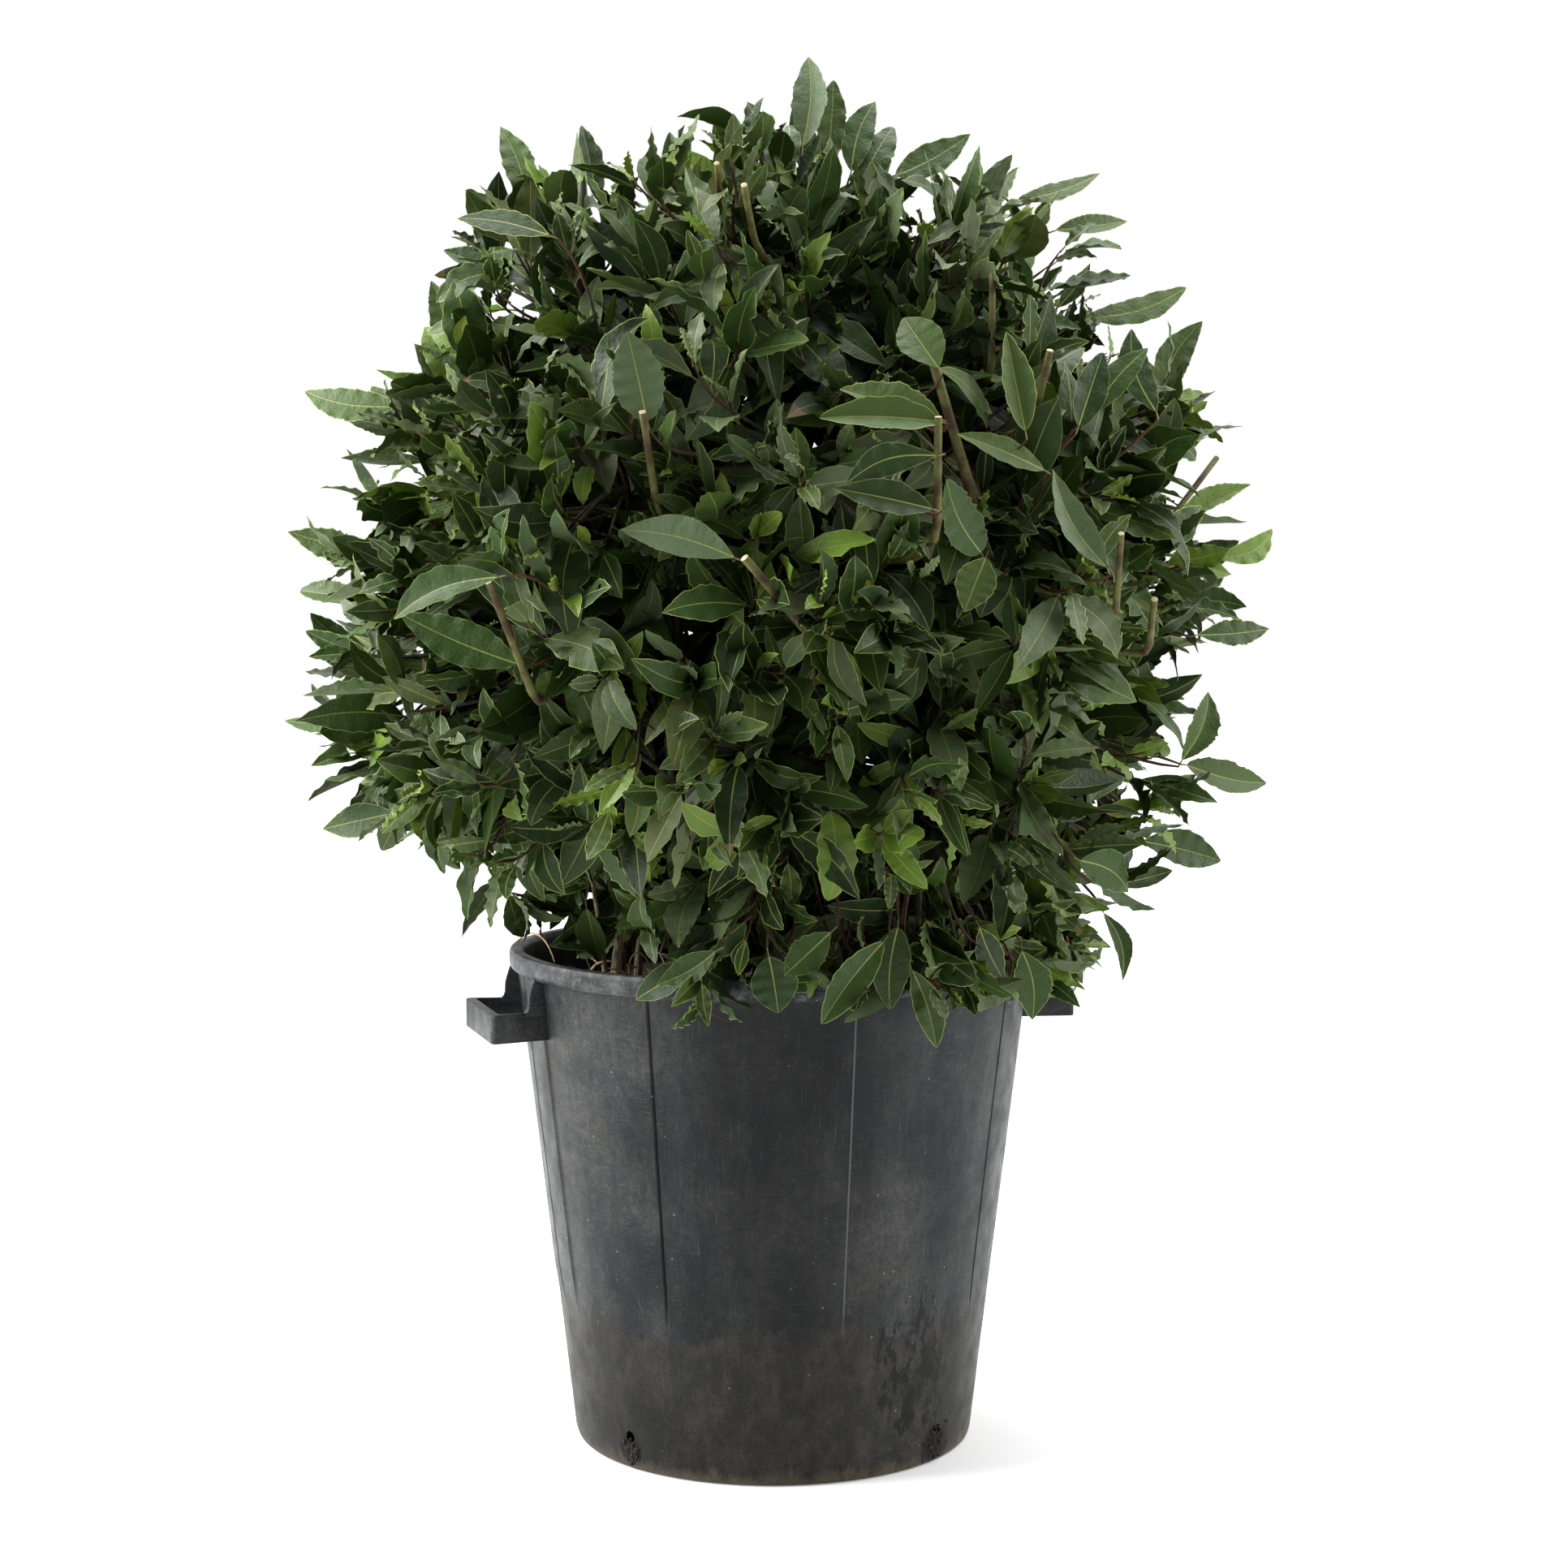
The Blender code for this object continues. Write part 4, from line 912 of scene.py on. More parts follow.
def make_limbs(masses):
    """The trunk, the stems and a bough to every mass, as in the part's source."""
    foot = SOIL_HEIGHT + CLEARANCE
    made = [limb("trunk", polar(*TRUNK_FOOT, foot), UP, polar(*TRUNK_TOP), UP,
                 TRUNK_RADIUS, TRUNK_TOP_RADIUS, FLARE)]
    low = TIERS[0]
    rng = random.Random(SEED)
    for number in range(low.count):
        turn = math.radians(low.turn) + STEM_TURN + 2 * math.pi * number / low.count
        swing = rng.uniform(-STEM_FOOT_SWING, STEM_FOOT_SWING)
        start = polar(rng.uniform(*STEM_FOOT_RADII), turn + swing, foot)
        end = polar(STEM_TOP, turn, rng.uniform(*STEM_TOP_HEIGHTS))
        made.append(limb(f"stem_{number + 1}", start, UP, end, UP,
                         STEM_RADIUS, STEM_TOP_RADIUS, FLARE))
    stems = [one for one, _ in made]
    for mass in masses:
        number = int(mass.name[-1]) - 1
        outward = polar(1.0, mass.turn, 0.0)
        top = mass.tier.name == "top"
        carrier = stems[0] if top else stems[number + 1]
        first = SIDE_BOUGH_RADIUS
        if mass.tier.name == "low":
            start = carrier.points[LOW_BOUGH_AT]
            way = outward + UP * LOW_BOUGH_RISE
        elif top and number:
            start = carrier.points[-2].lerp(carrier.points[-3], TOP_BOUGH_AT * number)
            way = outward + UP * TOP_BOUGH_RISE
        else:
            start = carrier.points[-1]
            way = UP
            first = carrier.radii[-1]
        made.append(limb(f"bough_{mass.name}", start, way.normalized(), mass.entry, mass.way,
                         first, BOUGH_TIP_RADIUS))
    return made


BARK_STEP = 0.004  # between rings of points
# Ridges of the bark: their height as a share of the radius, how many go round, and their twist
RIDGES = ((0.035, 3, 17.0), (0.030, 5, -41.0), (0.022, 9, 120.0))
ROUGHNESS = 0.02
SCAR_GAP = 0.043  # from one old leaf's ring to the next
SCAR_HALF = 0.0035
SCAR_RISE = 0.09
BARK_SHRINK = 0.97


def add_bark(pile, points, radii, sides, slot, rng):
    """A limb with shallow ridges, and a raised ring where each old leaf stood."""
    points = np.array(points)
    ways = unit(np.gradient(points, axis=0))
    along = np.concatenate([[0.0], np.cumsum(np.linalg.norm(np.diff(points, axis=0), axis=1))])
    fine = np.arange(0.0, along[-1], BARK_STEP)
    points, ways = (
        np.stack([np.interp(fine, along, rows[:, i]) for i in range(3)], axis=-1) for rows in (points, ways)
    )
    radii = np.interp(fine, along, radii)
    rings = ring_points(points[None], unit(ways)[None], np.ones((1, len(fine))), sides)[0]
    turn = (2 * math.pi * np.arange(sides) / sides)[None, :]
    s = fine[:, None]
    *phases, shift = rng.uniform(*ANY_TURN, 4)
    relief = BARK_SHRINK + ROUGHNESS * rng.uniform(-1, 1, (len(fine), sides))
    for (height, number, twist), phase in zip(RIDGES, phases):
        relief += height * np.sin(number * turn + twist * s + phase)
    scar = (s * (1 + 0.15 * np.sin(9 * s + shift)) + shift * 0.01) % SCAR_GAP - 0.02
    relief += SCAR_RISE * np.exp(-(scar / SCAR_HALF) ** 2) * (0.6 + 0.4 * np.sin(turn + 60 * s))
    spokes = (rings - points[:, None, :]) * (radii[:, None] * relief)[..., None]
    pile.tubes((points[:, None, :] + spokes)[None], slot)


# Leaves


# How each leaf's own form is drawn: evenly between two values, or round a middle with a spread
LEAF_WIDTHS = (0.32, 0.47)  # as shares of its length
LEAF_FORM = (
    ("droop", "uniform", -0.35, 0.90),
    ("twist", "normal", 0.0, 0.42),
    ("sickle", "normal", 0.0, 0.050),  # bend to one side
    ("fold", "uniform", 0.02, 0.55),  # how far both halves turn up
    ("cup", "normal", 0.0, 5.0),
    ("skew", "uniform", 0.80, 1.06),  # under 1 it is widest nearer its foot
    ("full", "uniform", 0.66, 1.00),  # under 1 its outline is fuller
    ("wave", "uniform", 0.0004, 0.0028),  # height of the waves along its edges
    ("waves", "uniform", 3.0, 6.5),
    ("phase", "uniform", *ANY_TURN),
    ("ragged", "uniform", 0.02, 0.09),
    ("hurt", "uniform", 0.0, 1.0),
    ("bite", "uniform", 0.25, 0.95),  # where along it a bite or hole is
)
TWO_SIDED = ("phase", "bite")  # each half of the blade has its own

# The blade's formula
TIP_NARROWING = 0.12
DROOP_TURN = 1.3
DROOP_POWER = 1.4
DROOP_CUP = 4.0
RIB_TAPER = 0.80
RIB_TIP = 0.00012
LEAST_HALF = 0.0003  # half width left at foot and tip
WAVE_POWER = 0.4  # how soon the waves fade towards foot and tip
CRINKLE = 0.0005
MARGIN_LEAST = 0.6  # share of the half width inside a margin, at least
MARGIN_WAVE = 0.9  # shares of the edge's wave and of the veins' height there
MARGIN_VEIN = 0.3
FOLD_LINE = 0.55  # and the same for the line halfway over each half
FOLD_WAVE = 0.10
RIB_MOST = 0.5
DUST_WAVES = (2.6, 3.0)  # of the dusty patches, against the edge's waves and phase


class Leaves:
    """Many leaves as arrays; each array has one row a leaf."""

    def __init__(self, **rows):
        self.__dict__.update(rows)

    def only(self, keep):
        return Leaves(**{key: value[keep] for key, value in self.__dict__.items()})

    def at(self, share):
        """Points at a share of each leaf's length."""
        return self.foot + self.along * (self.length * share)[:, None]


def join_leaves(groups):
    keys = groups[0].__dict__.keys()
    return Leaves(**{key: np.concatenate([getattr(g, key) for g in groups]) for key in keys})


def new_leaves(foot, along, face, length, tone, owner, rng, width=None, limp=1.0):
    """Leaves with their own bends, waves and widths, drawn by the rule."""
    n = len(foot)
    along = unit(along)
    normal = unit(face - along * dots(face, along))
    if width is None:
        width = length * rng.uniform(*LEAF_WIDTHS, n)
    form = {}
    for name, kind, first, second in LEAF_FORM:
        draw = rng.uniform if kind == "uniform" else rng.normal
        form[name] = draw(first, second, (n, 2) if name in TWO_SIDED else n)
    form["droop"] *= limp
    form["twist"] *= limp
    return Leaves(
        foot=foot, along=along, normal=normal, length=length, width=width, tone=tone, owner=owner, **form
    )


def blade_points(leaf, rows, detail, rng):
    """Points of the blades (n, rows, columns, 3), from one edge over the midrib to the other.

    Detail 0 gives each half blade one face a row, 1 adds its margin and 2 a fold line.
    """
    n = len(leaf.foot)
    t = np.linspace(0.0, 1.0, rows)[None, :]
    shape = np.sin(math.pi * t ** leaf.skew[:, None]) ** leaf.full[:, None]
    shape[:, -1] = 0.0
    shape *= 1.0 - TIP_NARROWING * t**3
    half = leaf.width[:, None] / 2 * shape
    angle = -leaf.droop[:, None] * t**DROOP_POWER * DROOP_TURN
    middle = (angle[:, 1:] + angle[:, :-1]) / 2
    step = leaf.length[:, None] / (rows - 1)
    run = np.cumsum(np.stack([np.cos(middle), np.sin(middle)]) * step, axis=-1)
    x, z = np.concatenate([np.zeros((2, n, 1)), run], axis=-1)
    y = leaf.sickle[:, None] * leaf.length[:, None] * np.sin(math.pi * t)
    spine = np.stack([x, y, z], axis=-1)
    roll = (leaf.twist[:, None] * t)[..., None]
    up = np.stack([-np.sin(angle), np.zeros_like(angle), np.cos(angle)], axis=-1)
    side = np.broadcast_to(np.array((0.0, 1.0, 0.0)), up.shape)
    across = side * np.cos(roll) + up * np.sin(roll)
    lift = up * np.cos(roll) - side * np.sin(roll)
    rib = RIB_HALF * (1.0 - RIB_TAPER * t) + RIB_TIP
    rise = np.sin(leaf.fold)[:, None]
    level = np.cos(leaf.fold)[:, None]
    cup = (leaf.cup - DROOP_CUP * leaf.droop)[:, None]
    veins = VEIN_RISE * (-1.0) ** np.arange(rows)
    columns = []
    for number, sign in enumerate((-1.0, 1.0)):
        rough = 1.0 + leaf.ragged[:, None] * rng.uniform(-1.0, 1.0, (n, rows))
        bitten = (leaf.hurt[:, None] > BITTEN) & (np.abs(t - leaf.bite[:, number, None]) < BITE_HALF)
        rough = np.where(bitten, rough * rng.uniform(*BITE_LEFT, (n, rows)), rough)
        edge = half * rough + LEAST_HALF
        swing = np.sin(2 * math.pi * leaf.waves[:, None] * t + leaf.phase[:, number, None])
        wave = leaf.wave[:, None] * swing * np.sin(math.pi * t) ** WAVE_POWER
        wave = wave + CRINKLE * rng.uniform(-1.0, 1.0, (n, rows)) * shape
        # how far out each line of points lies, and its shares of the wave and of the side veins
        lines = [(edge, 1.0, 0.0)]
        if detail > 0:
            lines.append((np.maximum(edge - MARGIN, edge * MARGIN_LEAST), MARGIN_WAVE, MARGIN_VEIN))
        if detail > 1:
            lines.append((half * FOLD_LINE, FOLD_WAVE, 1.0))
        lines.append((np.minimum(rib, edge * RIB_MOST), 0.0, 0.0))
        cells = []
        for out, bent, veined in lines:
            height = out * rise + out * out * cup + wave * bent + veins * veined
            cells.append(spine + across * (sign * out * level)[..., None] + lift * height[..., None])
        columns.append(cells)
    local = np.stack(columns[0] + columns[1][::-1], axis=2)
    basis = np.stack([leaf.along, np.cross(leaf.normal, leaf.along), leaf.normal], axis=1)
    return leaf.foot[:, None, None, :] + np.einsum("nrci,nij->nrcj", local, basis)


def blade_slots(leaf, rows, detail):
    """A material for each face: margins, both halves of the blade, and the midrib."""
    n = len(leaf.foot)
    share = ((np.arange(rows - 1) + 0.5) / (rows - 1))[None, :]
    hurt = leaf.hurt[:, None]
    browned = (hurt < BROWNED) & (share > BROWN_FROM)
    dull = (leaf.hurt < DULL) & (leaf.tone != TONE["fresh"]) & (leaf.tone != TONE["young"])
    margin = np.where(dull, TONE["dull_margin"], TONE["margin"])[:, None]
    margin = np.where(browned, TONE["browned"], margin)
    cells = []
    for number in range(2):
        phase = leaf.phase[:, number, None] * DUST_WAVES[1]
        faces = [margin] if detail else []
        for strip in range(2 if detail > 1 else 1):
            swing = np.sin(DUST_WAVES[0] * leaf.waves[:, None] * share + phase + strip)
            dusty = (swing > DUSTY_FROM) & (hurt > DUSTED)
            tone = np.where(dusty, np.array(DUSTY)[leaf.tone][:, None], leaf.tone[:, None])
            faces.append(np.where(browned, TONE["browned"], tone))
        if detail > 1:
            hole = np.abs(share - leaf.bite[:, number, None]) * (rows - 1) < 0.5
            hole &= np.abs(hurt - HOLED) < HOLED_HALF
            faces[-1] = np.where(hole, NO_FACE, faces[-1])
        cells += faces if number == 0 else [np.full((n, rows - 1), TONE["rib"]), *faces[::-1]]
    return np.stack(cells, axis=2)


def add_petioles(pile, leaf, slot):
    """A short stalk from the twig to each blade's foot."""
    start = leaf.foot - leaf.along * PETIOLE_LENGTH - leaf.normal * PETIOLE_DROP
    controls = curve_controls(start, leaf.along, leaf.foot, leaf.along)
    points, ways = on_curve(controls, np.array((0.0, 1.0)))
    radii = np.broadcast_to(np.array(PETIOLE_RADII), points.shape[:2])
    pile.tubes(ring_points(points, ways, radii, 3), slot)


def basis_across(ways):
    helper = np.where(np.abs(ways[..., 2:]) < 0.9, SKY, ALONG_X)
    one = unit(np.cross(ways, helper))
    return one, np.cross(ways, one)


def around(ways, turn):
    """Directions square to ways, at a turn round them."""
    one, two = basis_across(ways)
    return one * np.cos(turn)[..., None] + two * np.sin(turn)[..., None]


# Tones that go together in one spray, and how often such a spray comes in the crown's middle, where it
# faces the camera, and elsewhere; the darker families in the middle are painted shade
FAMILIES = (
    (("deep", "dark", "green"), 0.44, 0.16),
    (("dark", "green", "mid"), 0.22, 0.24),
    (("green", "mid", "blue"), 0.12, 0.17),
    (("blue", "grey", "dark"), 0.18, 0.11),
    (("mid", "fresh", "green"), 0.07, 0.24),
    (("olive", "mid", "green"), 0.06, 0.10),
)
PAINTED_SHADE_MIDDLE = (2.5, -1.2)  # the middle's share, by how squarely the crown faces the viewer


def spray_tones(outward, each, rng):
    """Tones dealt out by spray: (sprays, leaves), darker where the crown faces the camera, as painted
    shade.
    """
    middle, rest = (np.array([family[i] for family in FAMILIES]) for i in (1, 2))
    # painted shade: sprays that face the camera squarely draw the darker families
    share = np.clip(PAINTED_SHADE_MIDDLE[0] * (outward @ -VIEW_AWAY) + PAINTED_SHADE_MIDDLE[1], 0.0, 1.0)[:, None]
    chances = np.cumsum(share * middle + (1.0 - share) * rest, axis=1)
    draw = rng.uniform(0.0, 1.0, (len(outward), 1)) * chances[:, -1:]
    family = (draw > chances).sum(axis=1)
    numbers = np.array([[TONE[name] for name in names] for names, _, _ in FAMILIES])
    pick = rng.integers(0, 3, (len(outward), each))
    return np.take_along_axis(numbers[family], pick, axis=1)


# Leaves along a shoot, by their rank down from its apex
FIRST_LEAF = 0.002
LEAF_GAPS = (0.0075, 0.0125)
GAP_SHIFT = (-0.002, 0.002)
SHORTEST_SHOOT = 0.03
TURN_SPREAD = 0.25
SPREAD = (18, 7.0, 15.0)  # degrees off the shoot at its apex, more for each rank, and at random
SPREAD_BOUNDS = (6, 105)
SAG = 0.028  # for each rank
ALONG_SPREAD = 0.10
FACE_SPREAD = 0.45
SIZES = ((0, 1, 2, 3, 9), (0.55, 0.72, 0.9, 1.0, 0.95))  # by rank
SMALL_LEAVES = (0.044, 0.066)
LARGE_LEAVES = (0.068, 0.110)
LENGTHS = (0.72, 1.12)
YOUNG_SIZE = 0.62
BRIGHT_CHANCE = 0.65  # of a shoot with small leaves
LEAST_LEAVES = 6
LEAF_CHANCE = 0.93
PALE_CHANCE = 0.8  # of a leaf that shows its underside, facing outwards less than this:
TURNED_OVER = -0.25


def shoot_leaves(controls, outward, owner, young, small, rng):
    """Leaves round the last part of each shoot, the youngest at its apex."""
    n = len(controls)
    k = LEAVES_A_SHOOT
    span = np.linalg.norm(controls[:, 3] - controls[:, 0], axis=1)[:, None]
    rank = np.arange(k)[None, :]
    gap = rng.uniform(*LEAF_GAPS, (n, 1))
    down = FIRST_LEAF + gap * rank * (0.55 + 0.05 * rank) + rng.uniform(*GAP_SHIFT, (n, k))
    foot, axis = on_curve(controls, np.clip(1.0 - down / np.maximum(span, SHORTEST_SHOOT), 0.15, 1.0))
    turn = rng.uniform(*ANY_TURN, (n, 1)) + rank * GOLDEN_TURN + rng.normal(0.0, TURN_SPREAD, (n, k))
    spread = SPREAD[0] + SPREAD[1] * rank + rng.normal(0.0, SPREAD[2], (n, k))
    spread = np.radians(np.clip(spread, *SPREAD_BOUNDS))[..., None]
    along = axis * np.cos(spread) + around(axis, turn) * np.sin(spread)
    along = unit(along - SKY * (SAG * rank)[..., None] + rng.normal(0.0, ALONG_SPREAD, (n, k, 3)))
    face = axis - along * dots(axis, along)
    face = unit(face) * 0.8 + SKY * 0.60 + outward[:, None, :] * 0.25
    face = face + rng.normal(0.0, FACE_SPREAD, (n, k, 3))
    few, many = (rng.uniform(*lengths, (n, 1)) for lengths in (SMALL_LEAVES, LARGE_LEAVES))
    length = np.where(small[:, None], few, many) * np.interp(rank, *SIZES) * rng.uniform(*LENGTHS, (n, k))
    tone = spray_tones(outward, k, rng)
    bright = small[:, None] & (rng.uniform(0, 1, (n, 1)) < BRIGHT_CHANCE)
    tone = np.where(bright, rng.choice([TONE["fresh"], TONE["mid"], TONE["fresh"]], (n, k)), tone)
    young = young[:, None] | bright
    tone = np.where(young & (rank == 0), TONE["young"], tone)
    tone = np.where(young & (rank == 1), TONE["fresh"], tone)
    length = np.where(young & (rank < 2), length * YOUNG_SIZE, length)
    some = rank < rng.integers(LEAST_LEAVES, k + 1, (n, 1))
    some = (some & (rng.uniform(0, 1, (n, k)) < LEAF_CHANCE)).ravel()
    facing = dots(unit(face - along * dots(face, along)), outward[:, None, :])[..., 0]
    pale = (facing < TURNED_OVER) & (rng.uniform(0, 1, (n, k)) < PALE_CHANCE)
    tone = np.where(pale, TONE["pale"], tone)
    places = (foot + along * PETIOLE_LENGTH, along, face)
    foot, along, face = (rows.reshape(n * k, 3)[some] for rows in places)
    length, tone, owner = (rows.ravel()[some] for rows in (length, tone, np.repeat(owner, k)))
    return new_leaves(foot, along, face, length, tone, owner, rng)


# Room for leaves: clear of the rim and the soil, and not too far out or down
RIM_ROOM = 0.008
RIM_INSIDE = 0.245
RIM_ABOVE = 0.006
SOIL_ROOM = 0.004
APRON_ROOM = (0.02, 0.03)
TRIES = 6  # each with a leaf so much shorter and narrower:
SHORTER = 0.88
NARROWER = 0.93
LEAST_LEAF = 0.03


def in_room(points):
    """Within the crown's outline or hanging clear outside the rim, and clear of tub and soil."""
    radius = np.hypot(points[:, 0], points[:, 1])
    height = points[:, 2]
    outside = radius > RIM_RADIUS + RIM_ROOM
    hanging = outside & (radius < APRON_RADII[1] + APRON_ROOM[0]) & (height > APRON_TIPS[0] - APRON_ROOM[1])
    tub = (radius > RIM_INSIDE) & (radius < RIM_RADIUS + RIM_ROOM) & (height < POT_HEIGHT + RIM_ABOVE)
    return (within_outline(points, OUTREACH) | hanging) & ~tub & (height > SOIL_HEIGHT + SOIL_ROOM)


def keep_in(leaf):
    """Shorten leaves that would pass the outline, and drop those that still have no room."""
    for _ in range(TRIES):
        out = ~in_room(leaf.at(1.0))
        leaf.length = np.where(out, leaf.length * SHORTER, leaf.length)
        leaf.width = np.where(out, leaf.width * NARROWER, leaf.width)
    keep = leaf.length > LEAST_LEAF
    for share in (0.0, 0.5, 1.0):
        keep &= in_room(leaf.at(share))
    return leaf.only(keep)


FAR_OFF = 10.0  # puts the branches of other masses out of question


def grow_from(branches, branch_owner, ends, end_ways, owner, at):
    """Bends from the nearest branches of the same mass to given ends."""
    apart = np.linalg.norm(ends[:, None, :] - branches[None, :, 3], axis=2)
    apart += FAR_OFF * (owner[:, None] != branch_owner[None])
    start, start_way = on_curve(branches[apart.argmin(axis=1)], at[:, None])
    start_way = unit(start_way[:, 0] * 0.5 + unit(ends - start[:, 0]) * 0.8)
    return curve_controls(start[:, 0], start_way, ends, end_ways)


def make_branches(masses, rng):
    entries = np.array([mass.entry for mass in masses])
    hubs = np.array([mass.hub for mass in masses])
    ways = np.array([mass.way for mass in masses])
    out = lattice(BRANCHES)
    ends = on_outline(out)
    owner = owners(masses, ends)
    depth = BRANCH_DEPTH * rng.uniform(0.75, 1.25, (BRANCHES, 1))
    end_way = unit(out + SKY * 0.5 + rng.normal(0.0, 0.2, out.shape))
    share = rng.uniform(0.15, 1.05, (BRANCHES, 1))
    starts = entries[owner] + (hubs - entries)[owner] * share
    return curve_controls(starts, ways[owner], ends - out * depth, end_way), owner


def make_shoots(masses, branches, branch_owner, rng):
    """Shoots to the crown's outline, with the young ones of the picture last, and their leaves."""
    out = unit(lattice(SHOOTS) + rng.normal(0.0, 0.025, (SHOOTS, 3)))
    inset = rng.uniform(0.0, 1.0, (SHOOTS, 1)) ** 1.6 * 0.035 + HOLLOW * hollows(out)[:, None] ** 1.5
    tips = on_outline(out) - out * inset
    young = rng.uniform(0, 1, SHOOTS) < 0.30
    small = rng.uniform(0, 1, SHOOTS) < 0.24
    bright = on_front(np.array(YOUNG_SHOOTS), 0.03)
    tips = np.concatenate([tips, bright])
    out = np.concatenate([out, unit(bright - CROWN_MIDDLE)])
    young = np.concatenate([young, np.ones(len(bright), bool)])
    small = np.concatenate([small, np.zeros(len(bright), bool)])
    rise = SHOOT_RISE * np.clip(1.15 - out[:, 2:], 0.2, 1.3)
    way = unit(out + SKY * rise + rng.normal(0.0, 0.24, out.shape))
    apex = tips - way * APEX_DEPTH
    owner = owners(masses, tips)
    shoots = grow_from(branches, branch_owner, apex, way, owner, rng.uniform(0.72, 1.0, len(tips)))
    return shoots, owner, shoot_leaves(shoots, out, owner, young, small, rng)


def make_apron(masses, branches, branch_owner, rng):
    """Shoots that hang down over the tub's rim, and their leaves."""
    turn = rng.uniform(*APRON_TURNS, APRON_SHOOTS)
    radius = rng.uniform(*APRON_RADII, APRON_SHOOTS)
    height = rng.uniform(*APRON_TIPS, APRON_SHOOTS)
    flat = np.stack([np.cos(turn), np.sin(turn), np.zeros(APRON_SHOOTS)], axis=-1)
    sideways = np.stack([-flat[:, 1], flat[:, 0], flat[:, 2]], axis=-1)
    way = flat * 0.6 + sideways * rng.normal(0.0, 0.7, (APRON_SHOOTS, 1))
    way = unit(way - SKY * rng.uniform(0.05, 0.75, (APRON_SHOOTS, 1)))
    apex = flat * radius[:, None] + SKY * height[:, None] - way * APEX_DEPTH
    owner = owners(masses, apex)
    at = rng.uniform(0.5, 1.0, APRON_SHOOTS)
    shoots = grow_from(branches, branch_owner, apex, way, owner, at)
    chance = rng.uniform(0, 1, (2, APRON_SHOOTS))
    return shoots, owner, shoot_leaves(shoots, flat, owner, chance[0] < 0.3, chance[1] < 0.2, rng)


def inner_leaves(branches, branch_owner, rng):
    """Dark leaves along the outer half of every branch."""
    n = BRANCHES
    k = LEAVES_A_BRANCH
    t = np.linspace(0.45, 1.0, k)[None, :] + rng.uniform(-0.02, 0.02, (n, k))
    foot, axis = on_curve(branches, np.clip(t, 0.0, 1.0))
    turn = rng.uniform(*ANY_TURN, (n, 1)) + np.arange(k)[None, :] * GOLDEN_TURN
    along = unit(axis * 0.55 + around(axis, turn) + SKY * 0.1)
    face = SKY * 0.8 + lattice(BRANCHES)[:, None, :] + rng.normal(0.0, 0.4, (n, k, 3))
    tone = rng.choice([TONE["deep"], TONE["dark"], TONE["green"]], (n, k)).ravel()
    places = (foot + along * PETIOLE_LENGTH, along, face)
    length = rng.uniform(*INNER_LEAVES, n * k)
    rows = (one.reshape(-1, 3) for one in places)
    return new_leaves(*rows, length, tone, np.repeat(branch_owner, k), rng)


def make_marked(masses, branches, branch_owner, rng):
    """The leaves that stand out in the photograph, and the twigs that carry them."""
    front, hanging, edge = (
        np.array([row[:4] for row in group]) for group in (FRONT_LEAVES, HANGING_LEAVES, EDGE_LEAVES)
    )
    front_foot = on_front(front[:, :2], MARKED_PROUD)
    foot = np.concatenate([
        front_foot, on_front(hanging[:, :2], 0.0, over_rim),
        from_picture(edge[:, :2], np.full(len(edge), EDGE_NEAR)),
    ])
    tip = np.concatenate([
        on_front(front[:, 2:], MARKED_PROUD + TIP_PROUD, beside=front_foot),
        on_front(hanging[:, 2:], HANGING_PROUD, over_rim),
        from_picture(edge[:, 2:], np.zeros(len(edge))),
    ])
    every = FRONT_LEAVES + HANGING_LEAVES + EDGE_LEAVES
    n = len(every)
    owner = owners(masses, foot)
    out = unit(foot - CROWN_MIDDLE)
    along = unit(tip - foot)
    face = SKY * 0.4 - VIEW_AWAY * 0.8 + out * 0.3 + rng.normal(0.0, 0.15, (n, 3))
    leaf = new_leaves(
        foot, along, face, np.linalg.norm(tip - foot, axis=1) * 1.02,
        np.array([TONE[row[5]] for row in every]), owner, rng,
        width=np.array([row[4] for row in every]), limp=MARKED_LIMP
    )
    leaf.hurt = rng.uniform(*UNHURT, n)
    leaf.wave = leaf.wave * MARKED_WAVE
    ends = foot - along * PETIOLE_LENGTH
    twigs = grow_from(branches, branch_owner, ends, unit(out + along * 0.35), owner, np.full(n, 0.95))
    return leaf, twigs, len(FRONT_LEAVES) + len(HANGING_LEAVES)


def make_cuts(masses, branches, branch_owner, rng):
    """Pruned shoots: bends to where each comes out of the leaves, and where it was cut."""
    cuts = np.array(CUT_SHOOTS)
    end = on_front(cuts[:, 2:4], CUT_PROUD)
    base = on_front(cuts[:, :2], -CUT_SUNK, beside=end, slope=CUT_SLOPE)
    out = unit(lattice(OTHER_CUTS) + rng.normal(0.0, 0.06, (OTHER_CUTS, 3)))
    out = out[(out @ VIEW_AWAY > 0.15) & (out[:, 2] > -0.45) & (out[:, 2] < 0.80)]
    way = unit(out + SKY * 0.5 + rng.normal(0.0, 0.2, out.shape))
    far_end = on_outline(out) - out * rng.uniform(*OTHER_INSET, (len(out), 1))
    base = np.concatenate([base, far_end - way * OTHER_LENGTH])
    end = np.concatenate([end, far_end])
    owner = owners(masses, end)
    radius = np.concatenate([cuts[:, 4], rng.uniform(*OTHER_RADII, len(out))])
    bends = grow_from(branches, branch_owner, base, unit(end - base), owner, np.full(len(end), 0.9))
    return bends, end, radius, owner, len(cuts)


def clear_of(leaf, start, end, margin):
    """The leaves without those that hide marked things, from start to end, in the picture."""
    first, near = to_picture(start)
    last, far = to_picture(end)
    span = last - first
    hides = np.zeros(len(leaf.foot), bool)
    for share in (0.1, 0.3, 0.5, 0.7, 0.9):
        place, towards = to_picture(leaf.at(share))
        gap = place[:, None, :] - first[None]
        along = np.clip(np.sum(gap * span, axis=2) / np.sum(span * span, axis=1), 0.0, 1.0)
        apart = np.linalg.norm(gap - span * along[..., None], axis=2)
        depth = near + (far - near) * along
        hides |= ((apart < margin) & (towards[:, None] > depth - BEHIND)).any(axis=1)
    return leaf.only(~hides)


